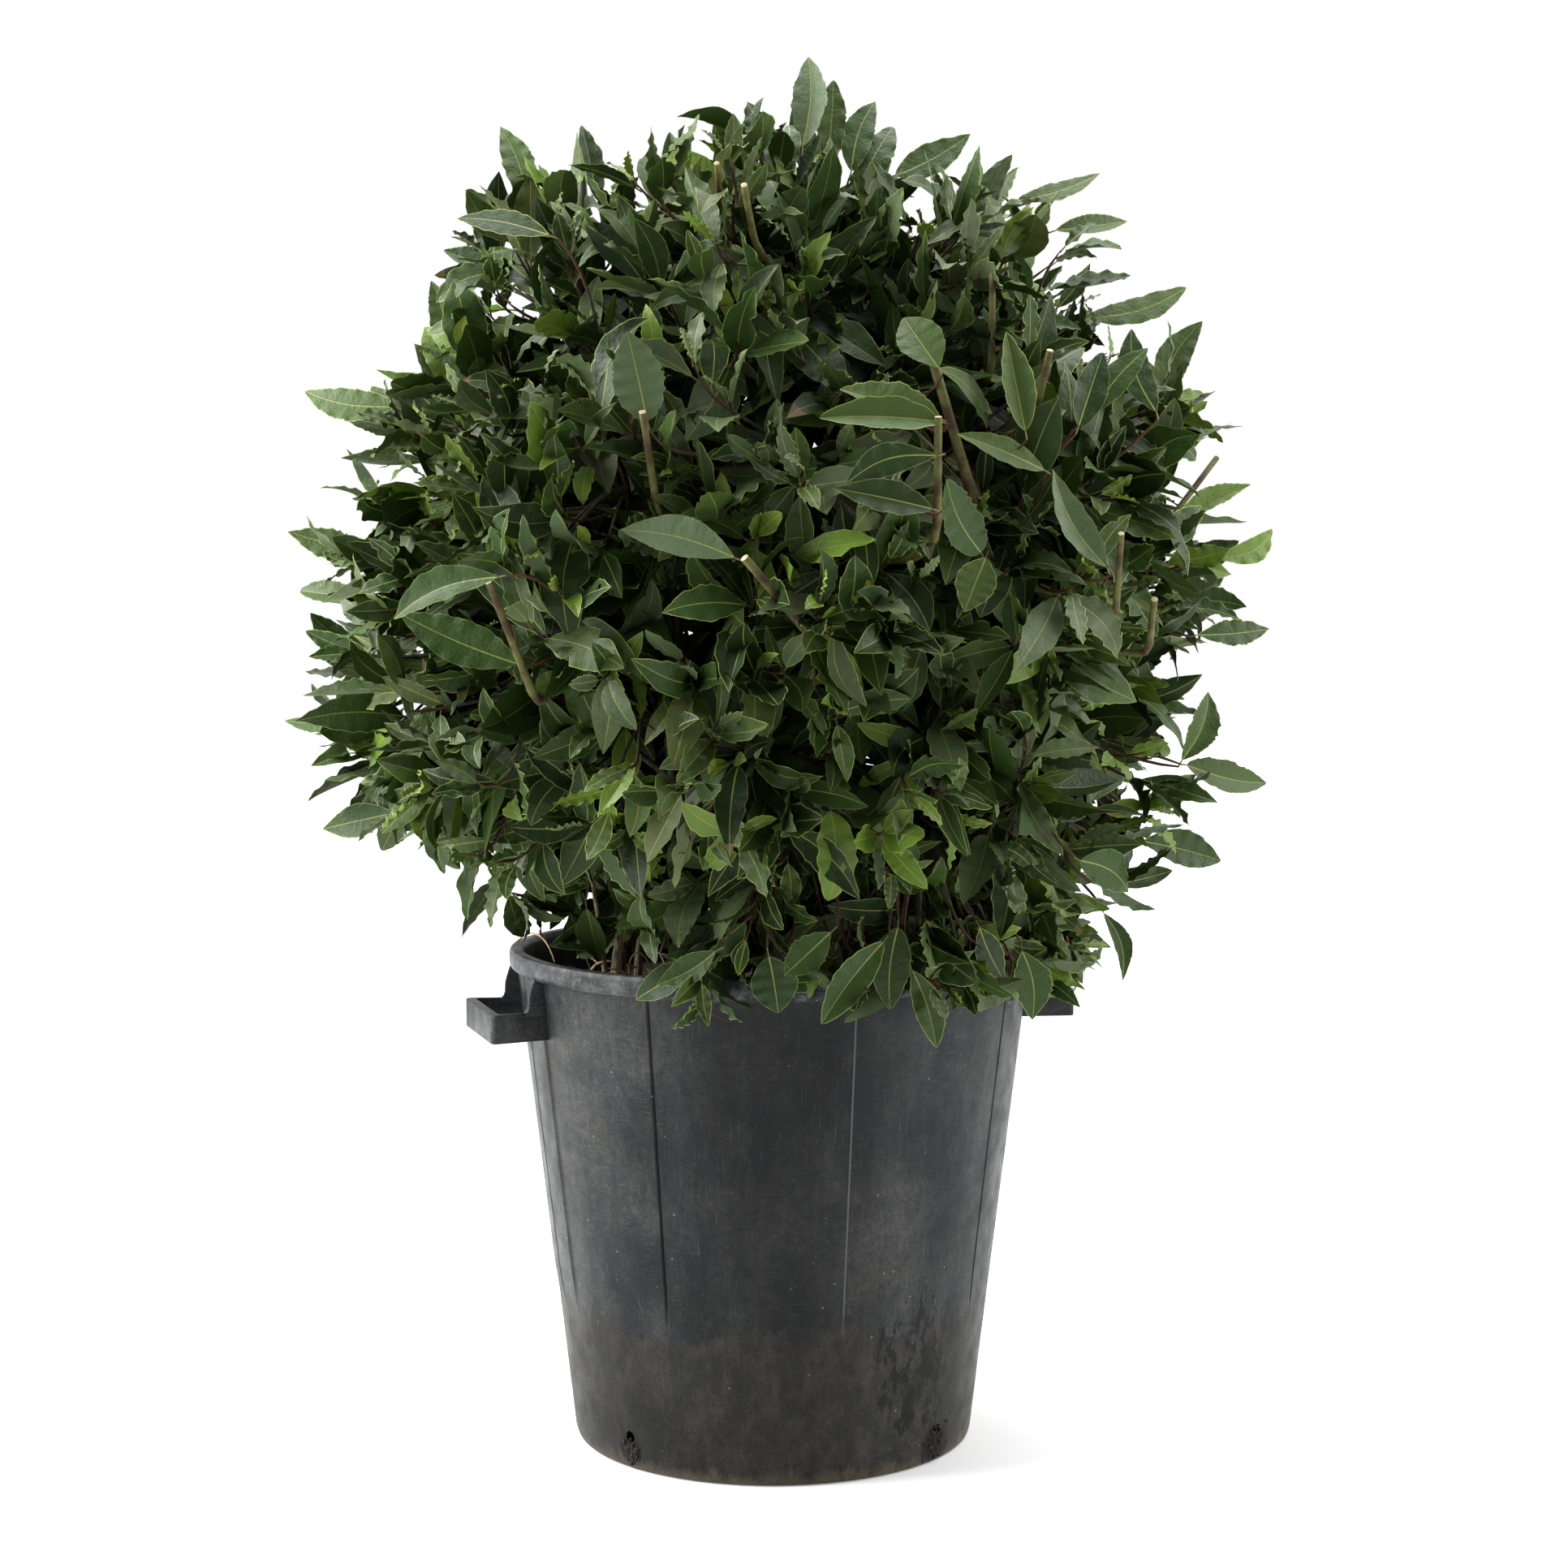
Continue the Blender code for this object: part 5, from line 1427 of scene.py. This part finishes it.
def twig_materials():
    return [
        bark_material("twig_old", (0.080, 0.078, 0.040), (0.055, 0.040, 0.022), 0.006),
        material("twig_young", (0.042, 0.020, 0.011), 0.55, 0.20),
        material("petiole", (0.100, 0.075, 0.026), 0.50, 0.25),
        material("cut_wood", (0.330, 0.270, 0.150), 0.80),
        cut_shoot_material(),
    ]


TWIG_BARK, YOUNG_BARK, PETIOLE, CUT_WOOD, CUT_BARK = range(5)
TWIG_STEPS = np.linspace(0.0, 1.0, 9)
OLD_STEPS = 5  # of these, in older bark
# Radii at the foot, near the tip and at the tip, and the number of sides
BRANCH_SHAPE = ((0.0038, 0.0024, 0.0022), 5)
SHOOT_SHAPE = ((0.0021, 0.0015, 0.0005), 4)
MARKED_SHAPE = ((0.0021, 0.0015, 0.0010), 4)
CUT_SIDES = 8
CUT_SWELL = (1.35, 1.08)  # of a pruned shoot's radius, from its foot to its straight end
CUT_NODES = (5, 8)  # steps at which old leaves stood
CUT_NODE_SWELL = 1.14
STALK_STEPS = 6


def add_cut(pile, controls, end, radius):
    """A pruned shoot with a flat pale cut."""
    points, ways = on_curve(controls, TWIG_STEPS)
    way = unit(end - controls[:, 3])
    rest = [controls[:, 3] + (end - controls[:, 3]) * share for share in (0.35, 0.7)]
    rest += [end, end + way * 0.0002, end + way * 0.0003]
    points = np.concatenate([points, np.stack(rest, axis=1)], axis=1)
    ways = np.concatenate([ways, np.repeat(way[:, None], len(rest), axis=1)], axis=1)
    swell = np.array((*np.linspace(*CUT_SWELL, len(TWIG_STEPS)), 1.04, 1.0, 1.0, 0.9, 0.02))
    swell[list(CUT_NODES)] *= CUT_NODE_SWELL
    slots = np.full(points.shape[1] - 1, CUT_BARK)
    slots[-2:] = CUT_WOOD
    rings = ring_points(points, ways, radius[:, None] * swell, CUT_SIDES)
    pile.tubes(rings, np.broadcast_to(slots[None, :, None], (len(points), len(slots), CUT_SIDES)))


def add_twigs(pile, controls, radii, sides):
    """Twigs whose last part is young bark."""
    points, ways = on_curve(controls, TWIG_STEPS)
    radii = np.broadcast_to(np.interp(TWIG_STEPS, (0, 0.9, 1), radii), points.shape[:2])
    slots = np.where(np.arange(len(TWIG_STEPS) - 1) < OLD_STEPS, TWIG_BARK, YOUNG_BARK)
    slots = np.broadcast_to(slots[None, :, None], (len(points), len(slots), sides))
    pile.tubes(ring_points(points, ways, radii, sides), slots)


def open_views(outer, inner, marked, facing, cuts, cut_ends, seen):
    """Take out the leaves that would hide the marked leaves, pruned shoots and gaps of sky."""
    shown = marked.only(np.arange(facing))
    room = np.where(np.arange(facing) < len(FRONT_LEAVES), MARKED_ROOM, HANGING_ROOM)
    outer = clear_of(outer, shown.foot, shown.at(1.0), shown.width / 2 + room)
    bare_from = cuts[:seen, 3] + (cut_ends[:seen] - cuts[:seen, 3]) * CUT_HIDDEN
    outer = clear_of(outer, bare_from, cut_ends[:seen], np.full(seen, CUT_ROOM))
    gaps = np.array(SKY_GAPS)
    behind = from_picture(gaps[:, :2], np.full(len(gaps), -CROWN_SPAN))
    margin = gaps[:, 2] + GAP_CLEAR
    return (clear_of(layer, behind, behind + UP_A_HAIR, margin) for layer in (outer, inner))


def make_foliage(masses):
    rng = np.random.default_rng(SEED)
    branches, branch_owner = make_branches(masses, rng)
    shoots, shoot_owner, outer = make_shoots(masses, branches, branch_owner, rng)
    apron, apron_owner, hanging = make_apron(masses, branches, branch_owner, rng)
    shoots = np.concatenate([shoots, apron])
    shoot_owner = np.concatenate([shoot_owner, apron_owner])
    inner = keep_in(inner_leaves(branches, branch_owner, rng))
    marked, marked_twigs, facing = make_marked(masses, branches, branch_owner, rng)
    cuts, cut_ends, cut_radii, cut_owner, seen = make_cuts(masses, branches, branch_owner, rng)
    outer = keep_in(join_leaves([outer, hanging]))
    outer, inner = open_views(outer, inner, marked, facing, cuts, cut_ends, seen)
    deep = depth_in(outer.at(0.5)) > DEEP
    layers = (
        # leaves, rows of faces and detail
        (outer.only(~deep), LEAF_ROWS, 2), (outer.only(deep), DEEP_LEAF_ROWS, 1),
        (inner, INNER_ROWS, 0), (marked, MARKED_ROWS, 2),
    )
    leaf_materials = [leaf_material(tone) for tone in TONES]
    barks = twig_materials()
    stalk_radii = np.linspace(BOUGH_TIP_RADIUS, STALK_TIP_RADIUS, STALK_STEPS)
    for index, mass in enumerate(masses):
        leaves = Pile()
        for layer, rows, detail in layers:
            own = layer.only(layer.owner == index)
            leaves.sheets(blade_points(own, rows, detail, rng), blade_slots(own, rows, detail))
        leaves.make(f"leaves_{mass.name}", leaf_materials, [f"foliage_{mass.name}"], "foliage")
        twigs = Pile()
        stalk = np.linspace(mass.entry, mass.hub, STALK_STEPS)
        add_bark(twigs, stalk, stalk_radii, 8, TWIG_BARK, rng)
        add_twigs(twigs, branches[branch_owner == index], *BRANCH_SHAPE)
        add_twigs(twigs, shoots[shoot_owner == index], *SHOOT_SHAPE)
        add_twigs(twigs, marked_twigs[marked.owner == index], *MARKED_SHAPE)
        own_cut = cut_owner == index
        add_cut(twigs, cuts[own_cut], cut_ends[own_cut], cut_radii[own_cut])
        for layer in (outer, marked):
            add_petioles(twigs, layer.only(layer.owner == index), PETIOLE)
        twigs.make(f"twigs_{mass.name}", barks, [f"foliage_{mass.name}"], "bark")


def make_bark(masses):
    rng = np.random.default_rng(SEED + 1)
    barks = [
        bark_material("bark", (0.165, 0.140, 0.085), (0.090, 0.080, 0.050)),
        bark_material("tan_bark", (0.480, 0.400, 0.230), (0.330, 0.260, 0.145), 0.008),
    ]
    groups = {"trunk": Pile(), "stems": Pile(), "boughs": Pile()}
    names = {key: [] for key in groups}
    for one, fine in make_limbs(masses):
        key = one.name if one.name == "trunk" else one.name.split("_")[0] + "s"
        add_bark(groups[key], fine, one.radii, LIMB_SIDES, 0, rng)
        names[key].append(one.name)
    for foot, top, first, last in SIDE_STEMS:
        ends = placed((foot, top))
        controls = curve_controls(ends[:1], SKY[None], ends[1:], unit(ends[1:] - ends[:1]))
        path, _ = on_curve(controls, np.linspace(0.0, 1.0, STALK_POINTS))
        radii = np.linspace(first, last, STALK_POINTS)
        add_bark(groups["stems"], path[0], radii, SIDE_STEM_SIDES, 1, rng)
    for key, pile in groups.items():
        pile.make(f"bark_{key}", barks, names[key], "bark")


# Tub, handles and soil


def wall_radius(height):
    share = height / (POT_HEIGHT - RIM_HEIGHT)
    return POT_FOOT_RADIUS + (POT_WALL_RADIUS - POT_FOOT_RADIUS) * share


TURN_STEP = 3.0  # degrees between the tub's columns, with more at the seams and panel edges
SEAM_COLUMNS = (0.0, 0.16, 0.32, 0.50, 0.75)
PANEL_COLUMNS = (-0.6, -0.3, 0.0, 0.3)
FLOOR_RADIUS = 0.10
RIM_ZONE = (0.490, 0.2)  # the rim lies above this height and outside this radius


def tub_profile():
    """Radius, height and share of the wall's relief, from the floor inside over the rim to the foot."""
    flat = (0.0, FLOOR_RADIUS, wall_radius(0.004) - 0.010)
    rows = [(radius, POT_FLOOR, 0.0) for radius in flat]
    rows += [(wall_radius(height) - POT_WALL, height, 0.0) for height in np.linspace(0.010, 0.486, 9)]
    rows += [(radius, height, 0.0) for radius, height in RIM_OUTLINE]
    rows += [(POT_WALL_RADIUS + 0.0006, LIP, 0.0), (POT_WALL_RADIUS, LIP - 0.001, 0.5)]
    for top, bottom, count in ((0.488, 0.200, 25), (0.190, 0.140, 8), (0.120, 0.010, 9)):
        rows += [(wall_radius(height), height, 1.0) for height in np.linspace(top, bottom, count)]
    rows += [(POT_FOOT_RADIUS - inwards, height, share) for inwards, height, share in FOOT_OUTLINE]
    return np.array(rows + [(FLOOR_RADIUS, 0.0, 0.0), (0.0, 0.0, 0.0)])


def tub_turns():
    """Turns of the tub's columns, closer together at the seams and the panels' edges."""
    turns = set(np.arange(0.0, 360.0, TURN_STEP))
    for seam in SEAM_TURNS:
        turns |= {seam + side * step for step in SEAM_COLUMNS for side in (-1, 1)}
    for middle in (0.0, 180.0):
        for side in (-1, 1):
            turns |= {middle + side * PANEL_HALF_TURN + step for step in PANEL_COLUMNS}
    return np.radians(np.array(sorted(round(turn % 360.0, 3) for turn in turns)))


def tub_relief(turn, height):
    """How far the wall stands out of its plain cone: grooves, ribs, panels and slight dents."""
    degrees = np.degrees(turn)
    fade = np.clip((height - SEAM_FOOT[0]) / (SEAM_FOOT[1] - SEAM_FOOT[0]), 0.0, 1.0)
    out = 0.0005 * np.sin(5 * turn + 9 * height) + 0.0007 * np.sin(2 * turn + 1.0) * np.sin(6.0 * height)
    for number, seam in enumerate(SEAM_TURNS):
        apart = np.abs((degrees - seam + 180.0) % 360.0 - 180.0)
        if number in RIBS:
            out += RIB_RISE * np.clip(1.0 - apart / RIB_HALF_TURN, 0.0, 1.0) * fade
        else:
            out -= GROOVE_DEPTH * np.clip(1.0 - apart / GROOVE_HALF_TURN, 0.0, 1.0) * fade
    apart = np.minimum(np.abs(degrees - 180.0), np.abs((degrees + 180.0) % 360.0 - 180.0))
    panel = np.clip((PANEL_HALF_TURN - apart) / PANEL_EDGE + 0.5, 0.0, 1.0)
    return out + PANEL_RISE * panel * fade


def make_tub():
    turn = tub_turns()[None, :]
    radius, height, share = (tub_profile()[:, i, None] for i in range(3))
    rim = (height > RIM_ZONE[0]) & (radius > RIM_ZONE[1])
    radius = radius + tub_relief(turn, height) * share + np.where(rim, 0.0006 * np.sin(3 * turn + 0.7), 0.0)
    level = height + np.where(rim, 0.0005 * np.sin(4 * turn + 2.0) - 0.0005, 0.0)
    points = np.stack([radius * np.cos(turn), radius * np.sin(turn), level + 0 * turn], axis=-1)
    pile = Pile()
    pile.tubes(points[None], 0)
    plastic = tub_material()
    tub = pile.make("tub_shell", [plastic], ["pot"], "tub")
    bm = bmesh.new()
    bm.from_mesh(tub.data)
    bmesh.ops.remove_doubles(bm, verts=bm.verts, dist=MERGE)
    bmesh.ops.dissolve_degenerate(bm, edges=bm.edges, dist=1e-7)
    finish_mesh(bm, tub.data)
    drill(tub)
    sharpen(tub, 38.0)
    for side, turn in (("right", 0.0), ("left", math.pi)):
        make_handle(f"tub_handle_{side}", turn, plastic, f"pot_handle_{side}")


def finish_mesh(bm, mesh):
    bmesh.ops.recalc_face_normals(bm, faces=bm.faces)
    bm.to_mesh(mesh)
    bm.free()


def sharpen(made, degrees):
    made.data.shade_smooth()
    made.data.set_sharp_from_angle(angle=math.radians(degrees))


def applied(made):
    bpy.context.view_layer.update()
    depsgraph = bpy.context.evaluated_depsgraph_get()
    mesh = bpy.data.meshes.new_from_object(made.evaluated_get(depsgraph))
    made.modifiers.clear()
    made.data = mesh


def drill(tub):
    """Four drain holes low in the wall."""
    for turn in DRAIN_TURNS:
        bpy.ops.mesh.primitive_cylinder_add(
            vertices=20, radius=DRAIN_RADIUS, depth=6 * POT_WALL,
            location=polar(wall_radius(DRAIN_HEIGHT) - POT_WALL / 2, math.radians(turn), DRAIN_HEIGHT),
            rotation=(0.0, math.pi / 2, math.radians(turn)),
        )
        hole = bpy.context.object
        cut = tub.modifiers.new("drain", "BOOLEAN")
        cut.operation = "DIFFERENCE"
        cut.object = hole
        applied(tub)
        bpy.data.objects.remove(hole, do_unlink=True)


def grip_side(radius, limit, corner):
    """Half of the grip's outline at one side, from the wall to its middle: radii and turns."""
    rows = [(wall_radius(HANDLE_BOTTOM) - SUNK, limit), (radius - corner, limit)]
    for i in range(1, 5):
        a = i / 5 * math.pi / 2
        back = corner * (1 - math.sin(a))
        rows.append((radius - back, limit - corner / radius * (1 - math.cos(a))))
    end = limit - corner / radius
    return rows + [(radius, end * (1 - i / 10)) for i in range(11)]


def straight(rows):
    """The same with the grip's arc pulled straight."""
    arc = HANDLE_RADIUS - HANDLE_BAR - 0.007
    return [(radius / math.cos(turn) if radius > arc else radius, turn) for radius, turn in rows]


def make_handle(name, turn, plastic, replaced):
    """A band that runs out of the wall, along and back, under two webs that carry it."""
    bm = bmesh.new()
    inset = GUSSET_THICKNESS / HANDLE_RADIUS
    outlines = (
        straight(grip_side(HANDLE_RADIUS, HANDLE_HALF_TURN, HANDLE_CORNER)),
        straight(grip_side(HANDLE_RADIUS - HANDLE_BAR, HANDLE_HALF_TURN - inset, HANDLE_CORNER / 2)),
    )
    for sign in (1, -1):
        (low_out, low_in), (high_out, high_in) = (
            [[bm.verts.new((r * math.cos(a), r * math.sin(a) * sign, height)) for r, a in rows]
             for rows in outlines] for height in (HANDLE_BOTTOM, HANDLE_TOP)
        )
        for one, two in ((low_out, high_out), (high_out, high_in), (high_in, low_in), (low_in, low_out)):
            for i in range(len(one) - 1):
                bm.faces.new((one[i], one[i + 1], two[i + 1], two[i]))
        bm.faces.new((low_out[0], high_out[0], high_in[0], low_in[0]))
        add_web(bm, sign * (HANDLE_HALF_TURN - inset / 2))
    bmesh.ops.remove_doubles(bm, verts=bm.verts, dist=MERGE)
    bmesh.ops.rotate(bm, verts=bm.verts, cent=(0, 0, 0), matrix=Matrix.Rotation(turn, 3, "Z"))
    mesh = bpy.data.meshes.new(name)
    finish_mesh(bm, mesh)
    mesh.materials.append(plastic)
    made = dress(bpy.data.objects.new(name, mesh), [replaced])
    bevel = made.modifiers.new("edges", "BEVEL")
    bevel.width = HANDLE_EDGE
    bevel.segments = 3
    bevel.limit_method = "ANGLE"
    bevel.angle_limit = math.radians(40.0)
    applied(made)
    sharpen(made, 50.0)


def add_web(bm, turn):
    """A web from the rim's underside down to the band, thin along the tub's turn."""
    outline = [(wall_radius(HANDLE_TOP) - SUNK, HANDLE_TOP + GUSSET_EDGE[0][1])]
    outline += [(radius, HANDLE_TOP + height) for radius, height in GUSSET_EDGE]
    outline += [(radius, LIP + 0.002) for radius in (0.2745, wall_radius(LIP) - SUNK)]
    radial = polar(1.0, turn, 0.0)
    side = polar(1.0, turn + math.pi / 2, 0.0) * (GUSSET_THICKNESS / 2)
    one, two = ([bm.verts.new(radial * r + UP * z + out) for r, z in outline] for out in (side, -side))
    bm.faces.new(one)
    bm.faces.new(two[::-1])
    for i in range(len(one)):
        j = (i + 1) % len(one)
        bm.faces.new((one[i], one[j], two[j], two[i]))


SOIL, STRAW, ROOT, WET_EARTH = range(4)
SOIL_RINGS = 45
SOIL_DEPTHS = ((0.46, 0.0), (0.30, 0.0), (0.10, 0.0), (0.012, 0.006))  # heights, and metres inwards
SOIL_ROUGH = (-0.0016, 0.0016)
LITTER_RADII = (0.03, 0.245)
LITTER_LENGTHS = (0.015, 0.055)
LITTER_THICKNESS = (0.0006, 0.0016)
LITTER_REACH = 0.250
LITTER_STEPS = 6


def soil_level(x, y):
    """Height of the soil's surface, with lumps and a lower edge."""
    edge = np.clip((np.hypot(x, y) - 0.17) / 0.085, 0.0, 1.0)
    lumps = 0.0022 * np.sin(47 * x + 3 * np.sin(31 * y)) + 0.0018 * np.sin(63 * y + 4 * np.sin(22 * x))
    lumps = lumps + 0.0012 * np.sin(140 * x + 9) * np.sin(131 * y + 2)
    return SOIL_HEIGHT - SOIL_EDGE_DROP * edge + lumps


def level_way(turn, height=0.0):
    """Directions at a turn round the axis, with a height."""
    return np.stack([np.cos(turn), np.sin(turn), np.broadcast_to(height, np.shape(turn))], axis=-1)


def make_soil():
    rng = np.random.default_rng(SEED + 2)
    pile = Pile()
    add_soil(pile, rng)
    add_litter(pile, rng)
    add_stalks(pile)
    add_clods(pile, rng)
    looks = [
        soil_material(),
        material("dry_stalk", (0.460, 0.360, 0.190), 0.75),
        material("dry_root", (0.190, 0.120, 0.060), 0.85),
        material("wet_earth", (0.0075, 0.0042, 0.0022), 0.70, 0.30),
    ]
    pile.make("soil_surface", looks, ["soil"], "soil")


def add_soil(pile, rng):
    """The soil's lumpy surface, and its body down to the tub's floor."""
    gap = POT_WALL + SOIL_GAP
    ways = level_way(np.linspace(0, 2 * math.pi, SOIL_SIDES + 1)[:-1])
    outer = wall_radius(SOIL_HEIGHT) - gap - 0.002
    radius = np.concatenate([[0.0005], np.linspace(0.006, outer, SOIL_RINGS - 1)])
    top = ways[None] * radius[:, None, None]
    rough = rng.uniform(*SOIL_ROUGH, top.shape[:2])
    top[..., 2] = soil_level(top[..., 0], top[..., 1]) + rough
    below = [ways * (wall_radius(height) - gap - inwards) + SKY * height for height, inwards in SOIL_DEPTHS]
    below.append(below[-1] * np.array((0.001, 0.001, 1.0)))
    pile.tubes(np.concatenate([top, np.array(below)])[None], SOIL)


def add_litter(pile, rng):
    """Dry stalks and roots that lie on the soil or stick out of it."""
    n = LITTER
    spot = rng.uniform(*LITTER_RADII, n)
    start = level_way(rng.uniform(*ANY_TURN, n)) * spot[:, None]
    start[:, 2] = soil_level(start[:, 0], start[:, 1]) - 0.001
    heading = rng.uniform(*ANY_TURN, n)
    lean = level_way(heading, rng.uniform(0.0, 0.7, n))
    end = start + lean * rng.uniform(*LITTER_LENGTHS, (n, 1))
    end[:, :2] *= np.minimum(1.0, LITTER_REACH / np.hypot(end[:, 0], end[:, 1]))[:, None]
    end[:, 2] = np.maximum(end[:, 2], soil_level(end[:, 0], end[:, 1]) + 0.001)
    controls = curve_controls(start, unit(lean), end, unit(end - start + rng.normal(0, 0.02, (n, 3))))
    t = np.linspace(0, 1, LITTER_STEPS)
    points, ways = on_curve(controls, t)
    radii = rng.uniform(*LITTER_THICKNESS, (n, 1)) * np.interp(t, (0, 1), (1.0, 0.5))[None, :]
    slots = rng.integers(STRAW, ROOT + 1, n)[:, None, None]
    pile.tubes(ring_points(points, ways, radii, 4), np.broadcast_to(slots, (n, LITTER_STEPS - 1, 4)))


def add_stalks(pile):
    """The dry stalks and root loops that show between rim and leaves at the left."""
    for places, radius in LEFT_STALKS:
        path, ways = on_curve(placed(places)[None], np.linspace(0.0, 1.0, STALK_POINTS))
        radii = radius * np.linspace(1.0, 0.7, STALK_POINTS)[None]
        pile.tubes(ring_points(path, ways, radii, 6), STRAW)


def add_clods(pile, rng):
    """Lumps of earth washed out of the drain holes."""
    for degrees, scale in zip(DRAIN_TURNS, CLOD_SIZES):
        spread = rng.normal(0.0, 1.0, (CLOD_LUMPS, 2)) * np.array(CLOD_SPREAD) * scale
        height = np.clip(CLOD_HEIGHT + spread[:, 1], 0.006, 0.040)
        radius = wall_radius(height)
        turn = math.radians(degrees) + spread[:, 0] / radius
        size = rng.uniform(0.0008, 0.0024, CLOD_LUMPS)
        middle = level_way(turn) * radius[:, None] + SKY * height[:, None]
        way = unit(rng.normal(0.0, 1.0, middle.shape))
        path = middle[:, None, :] + way[:, None, :] * (size[:, None] * (-1.0, -0.5, 0.5, 1.0))[..., None]
        radii = size[:, None] * (0.1, 0.85, 0.8, 0.1)
        pile.tubes(ring_points(path, np.repeat(way[:, None, :], 4, axis=1), radii, 6), WET_EARTH)


# Camera, light and floor


def view_axes():
    """The picture's right, forward and up directions, and the camera's place."""
    right = polar(1.0, VIEW_TURN, 0.0)
    forward = polar(1.0, VIEW_TURN + math.pi / 2, 0.0)
    place = forward * -CAMERA_DISTANCE + UP * CAMERA_HEIGHT
    yaw = math.atan((PHOTO_SIDE / 2 - AXIS_PIXEL) / PHOTO_FOCAL)
    level = forward * math.cos(yaw) + right * math.sin(yaw)
    right = right * math.cos(yaw) - forward * math.sin(yaw)
    look = level * math.cos(CAMERA_PITCH) - UP * math.sin(CAMERA_PITCH)
    return right, look, right.cross(look), place


def make_camera():
    right, look, up, place = view_axes()
    data = bpy.data.cameras.new("camera")
    data.sensor_width = SENSOR
    data.lens = PHOTO_FOCAL / PHOTO_SIDE * SENSOR
    data.clip_start = 0.05
    camera = bpy.data.objects.new("camera", data)
    camera.matrix_world = Matrix.Translation(place) @ Matrix((right, up, -look)).transposed().to_4x4()
    bpy.context.scene.collection.objects.link(camera)
    bpy.context.scene.camera = camera


# Lamps: how far across and towards the viewer, height, width, height of the lamp itself, watts,
# and the height on the tub's axis that it points at
Lamp = namedtuple("Lamp", "name across towards height width tall watts aim")
LAMPS = (
    Lamp("key", -2.6, 0.3, 2.3, 2.2, 2.2, 290.0, 1.00),
    Lamp("fill", 2.5, 0.1, 2.3, 1.8, 1.8, 80.0, 0.9),
    Lamp("top", 0.2, -0.5, 3.8, 2.6, 2.6, 165.0, 0.9),
    Lamp("low_left", -2.0, 1.15, 0.60, 0.7, 1.2, 7.0, 0.3),
    Lamp("low_right", 2.0, 1.15, 0.60, 0.7, 1.2, 18.0, 0.3),
)
WORLD_TURN = (-0.5, 0.4)  # from behind the viewer to the far side, as a share of the way there
WORLD_FRONT = 0.25  # strength of the surroundings behind the viewer
WORLD_BACK = 1.25
WHITE = (1.0, 1.0, 1.0, 1.0)


def make_world():
    """White surroundings, darker behind the viewer as in a studio, and plain white where seen."""
    world = bpy.data.worlds.new("studio")
    world.use_nodes = True
    background = world.node_tree.nodes["Background"]
    background.inputs["Color"].default_value = WHITE
    inputs = {0: node(world, "TexCoord").outputs["Generated"], 1: tuple(VIEW_AWAY)}
    away = node(world, "VectorMath", inputs, operation="DOT_PRODUCT").outputs["Value"]
    strength = ramp(world, away, *WORLD_TURN, WORLD_FRONT, WORLD_BACK)
    seen = node(world, "LightPath").outputs["Is Camera Ray"]
    shown = node(world, "Mix", {0: seen, 2: strength, 3: 1.0}).outputs[0]
    world.node_tree.links.new(shown, background.inputs["Strength"])
    return world


def make_light():
    scene = bpy.context.scene
    scene.view_settings.view_transform = "Standard"
    scene.view_settings.look = "None"
    scene.world = make_world()
    right, look, _, _ = view_axes()
    forward = Vector((look.x, look.y, 0.0)).normalized()
    for one in LAMPS:
        data = bpy.data.lights.new(one.name, "AREA")
        data.shape = "RECTANGLE"
        data.size = one.width
        data.size_y = one.tall
        data.energy = one.watts
        lamp = bpy.data.objects.new(one.name, data)
        lamp.location = right * one.across - forward * one.towards + UP * one.height
        aim = UP * one.aim - lamp.location
        lamp.rotation_euler = aim.to_track_quat("-Z", "Y").to_euler()
        lamp.visible_camera = False
        scene.collection.objects.link(lamp)


PAPER_RADIUS = 14.0
FLOOR_GRAIN = Patches(0.9, 2.0, 0.55, 1.0, 0.30, 0.70, 0.0, 1.0)
FLOOR_GREYS = ((0.650, 0.650, 0.650), (0.670, 0.670, 0.670))
FLOOR_GLOW = (1.2, 4.0, 0.16, 0.75)  # between these radii, from so much to so much


def make_floor():
    """White paper that glows more the further off it is, so that it runs into the background."""
    mesh = bpy.data.meshes.new("floor")
    bm = bmesh.new()
    bmesh.ops.create_circle(bm, cap_ends=True, segments=96, radius=PAPER_RADIUS)
    bm.to_mesh(mesh)
    bm.free()
    made = material("floor_paper", (0.66, 0.66, 0.66), 0.85, 0.2)
    use(made, "Base Color", mixed(made, patches(made, FLOOR_GRAIN), *FLOOR_GREYS))
    made.node_tree.nodes["Principled BSDF"].inputs["Emission Color"].default_value = WHITE
    far = node(made, "VectorMath", {0: coordinates(made)}, operation="LENGTH").outputs["Value"]
    use(made, "Emission Strength", ramp(made, far, *FLOOR_GLOW))
    mesh.materials.append(made)
    floor = bpy.data.objects.new("floor", mesh)
    bpy.context.scene.collection.objects.link(floor)


def main():
    masses = make_masses()
    make_camera()
    make_light()
    make_floor()
    make_tub()
    make_soil()
    make_bark(masses)
    make_foliage(masses)


main()
